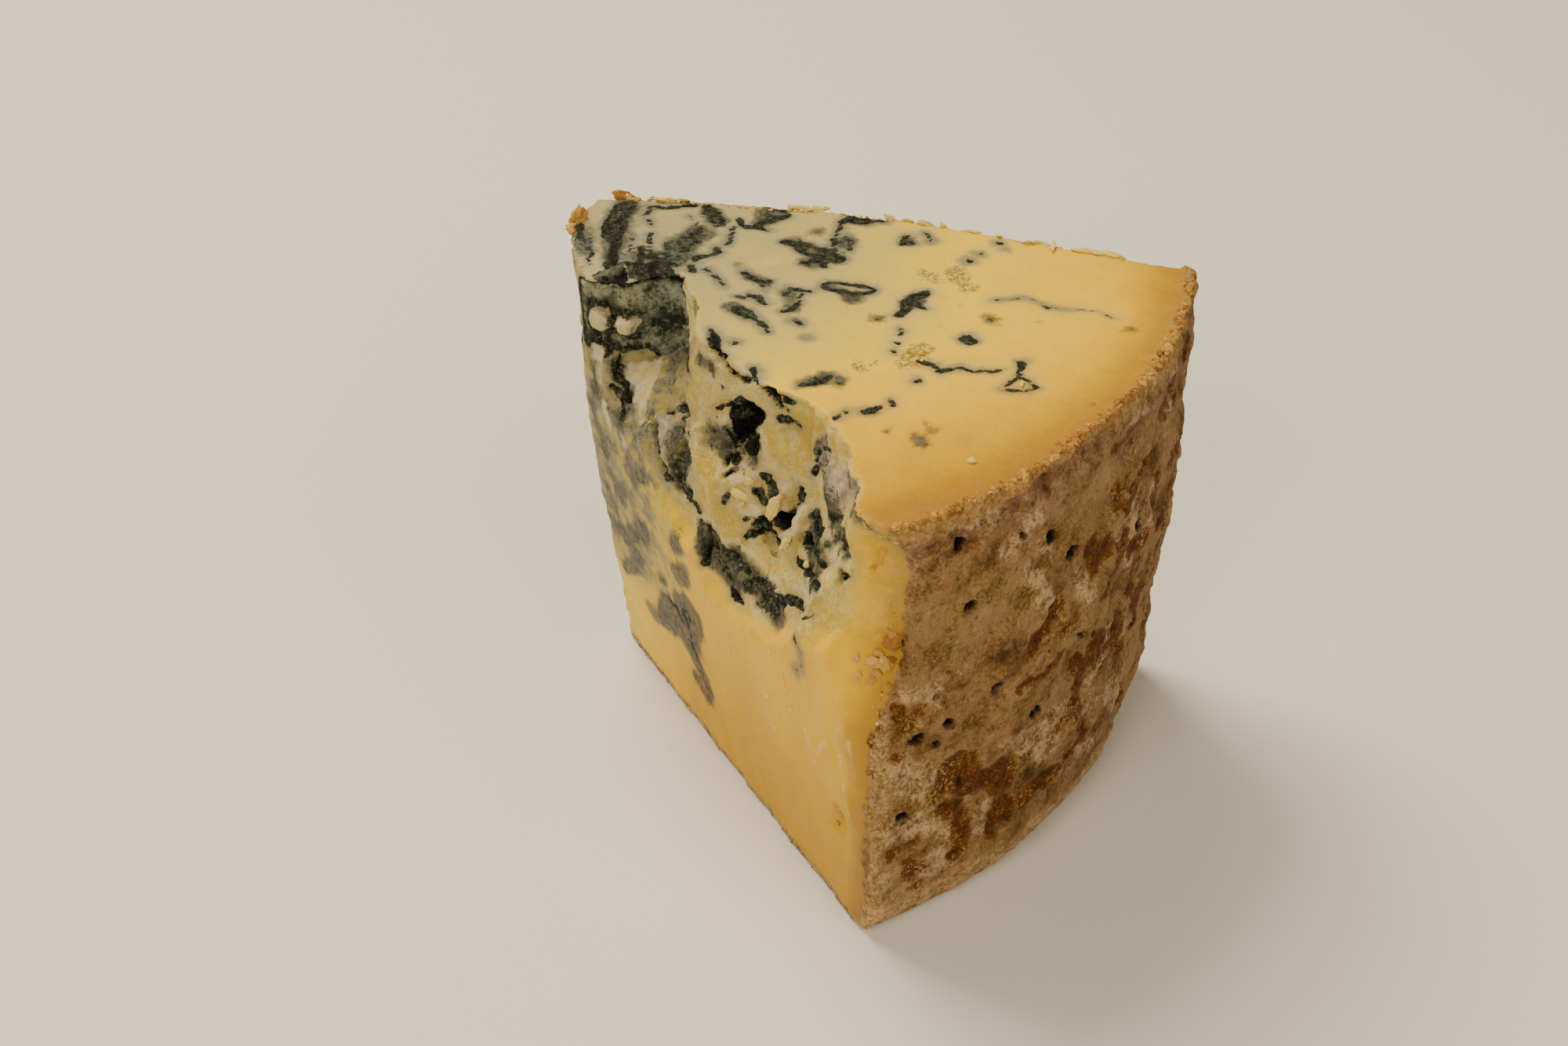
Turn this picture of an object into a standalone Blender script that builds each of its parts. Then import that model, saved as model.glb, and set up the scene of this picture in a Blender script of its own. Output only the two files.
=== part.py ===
"""Blue cheese wedge, cut from a small wheel: a bulging rind, two knife cuts and a blunt nose, in one solid.

The left cut has broken open along its mould seams, from a ledge at mid height up to the top edge.
Everything is worked out in millimetres in the wheel's own frame, with the wheel's axis at the origin,
+X down the middle of the wedge and the board at Z 0. The finished body then moves to the middle of its
base and is scaled to metres.
"""

import math

import bmesh
import bpy
from mathutils import Matrix, Vector, noise

MM = 0.001

# The wheel that the wedge was cut from.
WHEEL_RADIUS = 70.0
HEIGHT = 63.4
RIND_SWELL = 0.2  # how far the side swells between its top and its taper
TAPER = 2.3  # how far the side leans in towards the base
TAPER_HEIGHT = 40.0
BASE_ROUNDING = 2.8  # how far the rind then curls in under its base edge
BASE_ROUNDING_HEIGHT = 8.0
RIND_WAVES = 0.5  # the rind's slow unevenness, and how many millimetres one wave takes
RIND_WAVE_LENGTH = 13.0

# The two corners of the nose, as (x, y) on the board and at the top: the nose leans outwards.
NOSE_LEFT = (Vector((0.3, -5.9)), Vector((1.2, -10.9)))
NOSE_BACK = (Vector((-4.6, 5.2)), Vector((-8.9, 3.2)))
NOSE_BELLY = 1.6  # how far its left corner swells past that lean, most of all well above mid height
NOSE_BELLY_POWER = 1.5
NOSE_BOW = 1.1  # how round the nose is
NOSE_LIP = 1.0  # and how far it juts out at the very top
NOSE_LIP_FOOT = 57.0
NEAR_ANGLE = math.radians(-27.8)  # where the left cut leaves the rind
FAR_ANGLE = math.radians(28.2)  # where the back cut leaves it

BACK_BOW = 3.7  # the knife drifted: the back cut swells this much
BACK_BOW_AT = 0.40  # and most of all at this share of its length

# The break in the left cut, by distance along the cut from the nose: the height of its foot, and how deep
# it is at the top edge. Next to the nose it is a notch.
BREAK_FOOT = ((2.0, 47.0), (13.0, 44.0), (25.0, 36.5), (33.0, 32.0), (42.0, 34.5), (53.0, 41.5), (64.0, 50.0))
NOTCH_AT_TOP = ((1.0, 0.0), (5.5, 2.9), (8.0, 9.4), (22.0, 4.4))
BREAK_AT_TOP = (*NOTCH_AT_TOP, (31.0, 4.3), (42.0, 7.8), (48.0, 6.6), (54.0, 4.0), (60.0, 0.5))
WALL_FOOT = 56.0  # from here up, the break stands upright
LEDGE_DEPTH = 1.3  # the step along the break's foot
LEDGE_HEIGHT = 1.6
RELIEF = 0.75  # height of the crumbly lumps in the break
LUMP_LENGTH = 6.25  # millimetres along one large lump
LUMP_DETAIL = 2.3  # how many times smaller the lumps on it are
LUMP_SLICE = 3.1  # which slice of the noise gives the lumps
LUMP_FADE = 6.0  # over this length they die away at both ends of the break

# The flake missing from the near edge: its face lies between the left cut and the rind.
CHIP_TURN = math.radians(27.0)
CHIP_DEPTH = ((33.0, 0.0), (46.0, 3.4), (59.0, 3.6), (64.0, 1.2))

# Hollows in the break: distance from the nose, height, half sizes along the cut, inwards and upwards.
HOLLOWS = (
    (30.0, 55.6, 2.0, 3.0, 2.0),
    (31.0, 51.4, 1.6, 3.0, 2.2),
    (37.5, 44.6, 3.2, 2.4, 1.6),
)
HOLLOW_ROUGHNESS = 0.55
HOLLOW_DETAIL = 1.4  # how fine that roughness is
HOLLOW_SINK = 0.2  # how far a hollow's middle lies behind the face, as a share of its inward half size

# The top cut.
NOSE_DROOP = 1.0  # how far the top sinks at the nose's left corner
NOSE_DROOP_REACH = 12.0
TOP_WAVE = 0.4  # height of the knife's slight waves
TOP_WAVE_LENGTH = 22.2
TOP_WAVE_SLICE = 7.7  # which slice of the noise gives them

# How many points each wall has, and how far apart the outlines are.
LEFT_POINTS = 46
RIND_POINTS = 23
BACK_POINTS = 22
NOSE_POINTS = 9
LEVEL_SPACING = 2.0
BASE_LEVELS = (0.0, 0.3, 1.1, 2.6, 4.8)
TOP_CELL = 4.6
SNAP = 0.25  # grid cuts closer than this to a point run through it

SHARP_ANGLE = math.radians(40.0)
PASTE = {"Base Color": (0.60, 0.40, 0.13, 1.0), "Roughness": 0.55, "Metallic": 0.0}


def blend(low, high, value):
    """0 at low, 1 at high and beyond, with soft ends. Low may be the larger one."""
    share = min(1.0, max(0.0, (value - low) / (high - low)))
    return share * share * (3.0 - 2.0 * share)


def along_knots(knots, value):
    """The height of a soft line through a few (place, height) knots."""
    for (x0, y0), (x1, y1) in zip(knots, knots[1:]):
        if value <= x1:
            return y0 + (y1 - y0) * blend(x0, x1, value)
    return knots[-1][1]


def rind_radius(z):
    """The wheel's radius at a height: a side that leans in a little, over a rounded base edge."""
    swell = RIND_SWELL * math.sin(math.pi * z / HEIGHT)
    lean = TAPER * max(0.0, 1.0 - z / TAPER_HEIGHT)
    below = max(0.0, 1.0 - z / BASE_ROUNDING_HEIGHT)
    return WHEEL_RADIUS + swell - lean - BASE_ROUNDING * (1.0 - math.sqrt(1.0 - below * below))


def on_rind(angle, z):
    out = Vector((math.cos(angle), math.sin(angle)))
    place = Vector((*(out * WHEEL_RADIUS), z)) / RIND_WAVE_LENGTH
    return out * (rind_radius(z) + RIND_WAVES * noise.noise(place))


def nose_corner(corner, z):
    foot, top = corner
    return foot.lerp(top, z / HEIGHT)


def left_cut(z):
    """Where the knife's own cut starts at the nose, its direction, the way into the cheese, and its length."""
    start = nose_corner(NOSE_LEFT, z)
    run = on_rind(NEAR_ANGLE, z) - start
    along = run.normalized()
    inward = Vector((-along.y, along.x))
    belly = NOSE_BELLY * math.sin(math.pi * (z / HEIGHT) ** NOSE_BELLY_POWER)
    return start - inward * belly, along, inward, run.length


def break_depth(s, z):
    """How far the left face lies behind the knife's cut."""
    foot = along_knots(BREAK_FOOT, s)
    inside = blend(foot - LEDGE_HEIGHT / 2.0, foot + LEDGE_HEIGHT / 2.0, z)
    ledge = LEDGE_DEPTH * blend(BREAK_FOOT[1][0], BREAK_FOOT[2][0], s)
    at_top = along_knots(BREAK_AT_TOP, s)
    depth = ledge + (at_top - ledge) * blend(foot, WALL_FOOT, z)
    place = Vector((s / LUMP_LENGTH, LUMP_SLICE, z / LUMP_LENGTH))
    lumps = noise.noise(place) + 0.5 * noise.noise(place * LUMP_DETAIL)
    last = BREAK_FOOT[-1][0]
    ends = blend(0.0, LUMP_FADE, s) * blend(last, last - LUMP_FADE, s)
    return (depth + RELIEF * lumps * ends) * inside


def chip(point, z):
    """Moves a point of the wall back onto the flat that a missing flake has left on the near edge."""
    _, along, inward, _ = left_cut(z)
    out = along * math.sin(CHIP_TURN) - inward * math.cos(CHIP_TURN)
    beyond = (point - on_rind(NEAR_ANGLE, z)).dot(out) + along_knots(CHIP_DEPTH, z)
    return point - out * max(0.0, beyond)


def shares(count):
    """Even steps from 0 up to, but without, 1."""
    return [i / count for i in range(count)]


def left_wall(z):
    start, along, inward, length = left_cut(z)
    for share in shares(LEFT_POINTS):
        s = share * length
        yield chip(start + along * s + inward * break_depth(s, z), z)


def rind_wall(z):
    arc = FAR_ANGLE - NEAR_ANGLE
    for share in shares(RIND_POINTS):
        yield chip(on_rind(NEAR_ANGLE + arc * share, z), z)


def bowed_wall(start, end, count, bow, bow_at):
    """A straight cut that swells outwards by bow, most of all at bow_at of its length."""
    run = end - start
    outward = Vector((run.y, -run.x)).normalized()
    power = math.log(0.5) / math.log(bow_at)
    for share in shares(count):
        yield start + run * share + outward * bow * math.sin(math.pi * share**power)


def outline(z):
    """The wedge's outline at a height, anticlockwise from the nose's left corner."""
    left, back = left_cut(z)[0], nose_corner(NOSE_BACK, z)
    nose_bow = NOSE_BOW + NOSE_LIP * blend(NOSE_LIP_FOOT, HEIGHT, z)
    points = [*left_wall(z), *rind_wall(z)]
    points += bowed_wall(on_rind(FAR_ANGLE, z), back, BACK_POINTS, BACK_BOW, 1.0 - BACK_BOW_AT)
    points += bowed_wall(back, left, NOSE_POINTS, nose_bow, 0.5)
    return points


def outline_heights():
    """Close together round the base edge, then even up to the top."""
    rest = HEIGHT - BASE_ROUNDING_HEIGHT
    count = round(rest / LEVEL_SPACING)
    return [*BASE_LEVELS, *(BASE_ROUNDING_HEIGHT + rest * i / count for i in range(count + 1))]


def raise_ring(body, ring, z):
    """Extrudes a closed ring of points up to the outline at the next height."""
    edges = [body.edges.get(pair) for pair in zip(ring, ring[1:] + ring[:1])]
    made = bmesh.ops.extrude_edge_only(body, edges=edges)["geom"]
    fresh = {item for item in made if isinstance(item, bmesh.types.BMVert)}
    above = []
    for vert in ring:
        above += [edge.other_vert(vert) for edge in vert.link_edges if edge.other_vert(vert) in fresh]
    for vert, point in zip(above, outline(z)):
        vert.co = (point.x, point.y, z)
    return above


def top_faces(body):
    return [face for face in body.faces if all(vert.co.z > HEIGHT - 0.001 for vert in face.verts)]


def cut_top_grid(body):
    """Cuts the top face into square cells, so that it can follow its own unevenness."""
    for normal in (Vector((1.0, 0.0, 0.0)), Vector((0.0, 1.0, 0.0))):
        reach = [normal.dot(vert.co) for face in top_faces(body) for vert in face.verts]
        count = round((max(reach) - min(reach)) / TOP_CELL)
        for i in range(1, count):
            place = normal * (min(reach) + (max(reach) - min(reach)) * i / count)
            faces = top_faces(body)
            edges = {edge for face in faces for edge in face.edges}
            verts = {vert for face in faces for vert in face.verts}
            geometry = [*verts, *edges, *faces]
            bmesh.ops.bisect_plane(body, geom=geometry, dist=SNAP, plane_co=place, plane_no=normal)


def sink_top(body):
    """Lowers the top's points: a droop at the nose's left corner, and the knife's slight waves."""
    for vert in {vert for face in top_faces(body) for vert in face.verts}:
        to_corner = (vert.co.xy - NOSE_LEFT[1]).length
        droop = NOSE_DROOP * blend(NOSE_DROOP_REACH, 0.0, to_corner)
        place = Vector((vert.co.x / TOP_WAVE_LENGTH, vert.co.y / TOP_WAVE_LENGTH, TOP_WAVE_SLICE))
        wave = TOP_WAVE * abs(noise.noise(place))
        vert.co.z -= droop + wave


def wedge_mesh():
    """The outlines stacked into one closed body."""
    body = bmesh.new()
    ring = [body.verts.new((point.x, point.y, 0.0)) for point in outline(0.0)]
    body.faces.new(reversed(ring))
    for z in outline_heights()[1:]:
        ring = raise_ring(body, ring, z)
    body.faces.new(ring)
    cut_top_grid(body)
    sink_top(body)
    bmesh.ops.recalc_face_normals(body, faces=body.faces)
    return body


def hollow_mesh(s, z, half_along, half_in, half_up):
    """A rough pebble that cuts one hollow, centred on the broken face."""
    start, along, inward, _ = left_cut(z)
    centre = start + along * s + inward * (break_depth(s, z) + HOLLOW_SINK * half_in)
    turn = Matrix((along.to_3d(), inward.to_3d(), (0.0, 0.0, 1.0))).transposed().to_4x4()
    size = Matrix.Diagonal((half_along, half_in, half_up, 1.0))
    pebble = bmesh.new()
    bmesh.ops.create_icosphere(pebble, subdivisions=2, radius=1.0)
    for vert in pebble.verts:
        vert.co *= 1.0 + HOLLOW_ROUGHNESS * noise.noise(vert.co * HOLLOW_DETAIL + Vector((s, z, 0.0)))
    bmesh.ops.transform(pebble, matrix=turn @ size, verts=pebble.verts)
    bmesh.ops.translate(pebble, vec=(centre.x, centre.y, z), verts=pebble.verts)
    return pebble


def paste_material():
    material = bpy.data.materials.new("paste")
    material.use_nodes = True
    shader = material.node_tree.nodes["Principled BSDF"]
    for socket, value in PASTE.items():
        shader.inputs[socket].default_value = value
    return material


def as_object(name, body, to_frame):
    bmesh.ops.transform(body, matrix=to_frame, verts=body.verts)
    mesh = bpy.data.meshes.new(name)
    body.to_mesh(mesh)
    body.free()
    mesh.shade_smooth()
    mesh.set_sharp_from_angle(angle=SHARP_ANGLE)
    obj = bpy.data.objects.new(name, mesh)
    bpy.context.scene.collection.objects.link(obj)
    return obj


def to_base_centre(body):
    """Millimetres about the wheel's axis to metres about the middle of the wedge's own box."""
    xs, ys = [vert.co.x for vert in body.verts], [vert.co.y for vert in body.verts]
    middle = Vector(((min(xs) + max(xs)) / 2.0, (min(ys) + max(ys)) / 2.0, 0.0))
    print("wheel axis lies at", -middle, "mm; the top reaches", max(vert.co.z for vert in body.verts))
    return Matrix.Scale(MM, 4) @ Matrix.Translation(-middle)


def main():
    for obj in list(bpy.data.objects):
        bpy.data.objects.remove(obj)
    body = wedge_mesh()
    to_frame = to_base_centre(body)
    wedge = as_object("cheese_wedge", body, to_frame)
    wedge.data.materials.append(paste_material())
    for number, sizes in enumerate(HOLLOWS, start=1):
        cutter = as_object(f"hollow_cutter_{number}", hollow_mesh(*sizes), to_frame)
        cutter.hide_render = True
        cutter.display_type = "WIRE"
        cut = wedge.modifiers.new(f"hollow {number}", "BOOLEAN")
        cut.operation = "DIFFERENCE"
        cut.object = cutter


main()
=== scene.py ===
# %% [markdown]
# # A wedge of blue cheese
# The real object is one piece of cheese cut from a small wheel. Two knife cuts meet in a blunt nose, a
# third cut makes the top, and the wheel's own skin, the rind, is left on the curved side and underneath.
# Blue mould grows along the cracks in the paste, and one cut has broken open along them.
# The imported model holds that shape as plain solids. This script gives it a skin of fine triangles, sculpts
# the crumbly places by moving points, and then builds one material that knows paste, mould and rind.

import math

import bmesh
import bpy
import numpy as np
from mathutils import Matrix, Vector, noise
from mathutils.bvhtree import BVHTree


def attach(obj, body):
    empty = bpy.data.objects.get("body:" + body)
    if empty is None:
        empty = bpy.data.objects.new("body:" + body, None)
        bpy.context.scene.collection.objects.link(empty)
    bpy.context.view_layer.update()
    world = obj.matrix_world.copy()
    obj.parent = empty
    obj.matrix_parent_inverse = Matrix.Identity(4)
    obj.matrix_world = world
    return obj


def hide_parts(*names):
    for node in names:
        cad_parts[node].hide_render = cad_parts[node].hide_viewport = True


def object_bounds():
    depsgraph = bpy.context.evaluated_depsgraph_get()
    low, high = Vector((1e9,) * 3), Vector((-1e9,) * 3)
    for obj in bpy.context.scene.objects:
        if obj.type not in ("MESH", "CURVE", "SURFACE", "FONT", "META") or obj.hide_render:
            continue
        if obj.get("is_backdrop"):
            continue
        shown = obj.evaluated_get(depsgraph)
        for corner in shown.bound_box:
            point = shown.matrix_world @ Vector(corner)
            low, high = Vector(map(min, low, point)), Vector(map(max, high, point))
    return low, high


# noise_vector takes its pattern from the clock, unless it's given a seed
NOISE_SEED = 1795336557
noise.seed_set(NOISE_SEED)

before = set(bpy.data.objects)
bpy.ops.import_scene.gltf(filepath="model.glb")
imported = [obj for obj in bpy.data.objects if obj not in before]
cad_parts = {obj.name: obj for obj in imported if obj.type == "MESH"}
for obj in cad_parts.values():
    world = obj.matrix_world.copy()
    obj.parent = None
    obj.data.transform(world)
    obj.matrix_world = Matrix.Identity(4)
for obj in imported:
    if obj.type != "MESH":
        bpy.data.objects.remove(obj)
cad_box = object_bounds()
print("the packed model's box, in metres:", [[round(v, 4) for v in corner] for corner in cad_box])

# %% [markdown]
# ## Measures
# A wheel of cheese is easiest to think about from its own axis, in millimetres: how far a point lies from
# the axis says how far it is from the rind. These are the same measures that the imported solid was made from.

# %% Measures of the wheel and its cuts, in millimetres
MM = 0.001
WHEEL_AXIS = np.array([-30.72, -0.14])
WHEEL_RADIUS = 70.0
HEIGHT = 63.4
RIND_SWELL = 0.2
TAPER = 2.3
TAPER_HEIGHT = 40.0
BASE_ROUNDING = 2.8
BASE_ROUNDING_HEIGHT = 8.0
NEAR_ANGLE = math.radians(-27.8)
FAR_ANGLE = math.radians(28.2)
NOSE_LEFT = np.array([[0.3, -5.9], [1.2, -10.9]])
NOSE_BACK = np.array([[-4.6, 5.2], [-8.9, 3.2]])
CUT_LENGTH = 66.0
BREAK_END = 63.0
BREAK_DEPTH = 12.0


def soft_step(low, high, value):
    """0 at low, 1 at high, with soft ends. Low may be the larger one."""
    share = np.clip((value - low) / (high - low), 0.0, 1.0)
    return share * share * (3.0 - 2.0 * share)


def rind_radius(z):
    """How far the rind lies from the wheel's axis at a height."""
    swell = RIND_SWELL * np.sin(np.pi * z / HEIGHT)
    lean = TAPER * np.clip(1.0 - z / TAPER_HEIGHT, 0.0, 1.0)
    below = np.clip(1.0 - z / BASE_ROUNDING_HEIGHT, 0.0, 1.0)
    return WHEEL_RADIUS + swell - lean - BASE_ROUNDING * (1.0 - np.sqrt(1.0 - below * below))


def along_cut(points, corner, angle):
    """Lays a knife cut out flat: for each point, how far it is from the nose, and how far behind the cut."""
    height = np.clip(points[:, 2] / HEIGHT, 0.0, 1.0)[:, None]
    start = corner[0] * (1.0 - height) + corner[1] * height
    end = np.array([math.cos(angle), math.sin(angle)]) * rind_radius(points[:, 2])[:, None]
    run = end - start
    run /= np.linalg.norm(run, axis=1)[:, None]
    place = points[:, :2] - start
    behind = run[:, 0] * place[:, 1] - run[:, 1] * place[:, 0]
    return np.sum(place * run, axis=1), behind


print("the wheel is", 2 * WHEEL_RADIUS, "mm across and the wedge", HEIGHT, "mm high")

# %% [markdown]
# ## A skin fine enough to sculpt
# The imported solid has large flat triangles. A voxel remesh would give an even skin but rounds every edge, so
# it is done first and the points are then pulled back onto the solid with a Shrinkwrap. The broken face gets
# one more subdivision, because its crumbs are less than a millimetre across. The hidden base stays coarse.

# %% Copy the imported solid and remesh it
SKIN_CELL = 1.14

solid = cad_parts["cheese_wedge"]


def keep_result(obj):
    """Replaces an object's mesh with what its modifiers make of it."""
    finished = bpy.data.meshes.new_from_object(obj.evaluated_get(bpy.context.evaluated_depsgraph_get()))
    obj.modifiers.clear()
    obj.data = finished


def new_object(name, mesh):
    obj = bpy.data.objects.new(name, mesh)
    bpy.context.scene.collection.objects.link(obj)
    return obj


skin = bmesh.new()
skin.from_mesh(solid.data)
bmesh.ops.remove_doubles(skin, verts=skin.verts, dist=0.000002)
skin_mesh = bpy.data.meshes.new("wedge_of_cheese")
skin.to_mesh(skin_mesh)
skin.free()
wedge = new_object("wedge_of_cheese", skin_mesh)
remesh = wedge.modifiers.new("even skin", "REMESH")
remesh.mode = "VOXEL"
remesh.voxel_size = SKIN_CELL * MM
keep_result(wedge)
print("an even skin of", len(wedge.data.polygons), "squares")

# %% Subdivide the skin where it shows detail
skin = bmesh.new()
skin.from_mesh(wedge.data)
bmesh.ops.recalc_face_normals(skin, faces=skin.faces)


def is_base(face):
    return face.calc_center_median().z < 0.0001


def is_broken(face):
    centre = np.array([face.calc_center_median()]) / MM - (*WHEEL_AXIS, 0.0)
    s, behind = along_cut(centre, NOSE_LEFT, NEAR_ANGLE)
    foot = np.interp(s[0], (2.0, 25.0, 33.0, 45.0, 64.0), (44.0, 34.0, 30.0, 33.0, 47.0))
    on_the_cut = -3.0 < behind[0] < BREAK_DEPTH and 1.0 < s[0] < BREAK_END
    return face.normal.y < -0.05 and centre[0, 2] > foot and on_the_cut


def subdivide(wanted):
    """Halves the edges of the wanted faces. They're taken in face order, so each run gives the same mesh."""
    edges = dict.fromkeys(edge for face in skin.faces if wanted(face) for edge in face.edges)
    bmesh.ops.subdivide_edges(skin, edges=list(edges), cuts=1, use_grid_fill=True)


subdivide(lambda face: not is_base(face))
subdivide(is_broken)
bmesh.ops.triangulate(skin, faces=[face for face in skin.faces if len(face.verts) > 4])
skin.to_mesh(wedge.data)
skin.free()
wrap = wedge.modifiers.new("back onto the solid", "SHRINKWRAP")
wrap.target = solid
keep_result(wedge)
triangles = sum(len(face.vertices) - 2 for face in wedge.data.polygons)
print("after subdivision:", triangles, "triangles")

# %% [markdown]
# ## Where the mould runs
# The veins can't be found by a rule: they follow cracks that opened by chance. So each one is drawn as a
# stroke, a half width and a few points in millimetres, on the face where it is seen. A stroke gives every
# skin point a signed distance, deep inside counting up and outside counting down. That distance is stored
# on the points, and the material adds fine noise to it before it looks for its edge. So the edge can crumble
# far more finely than the skin's own triangles.

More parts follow.
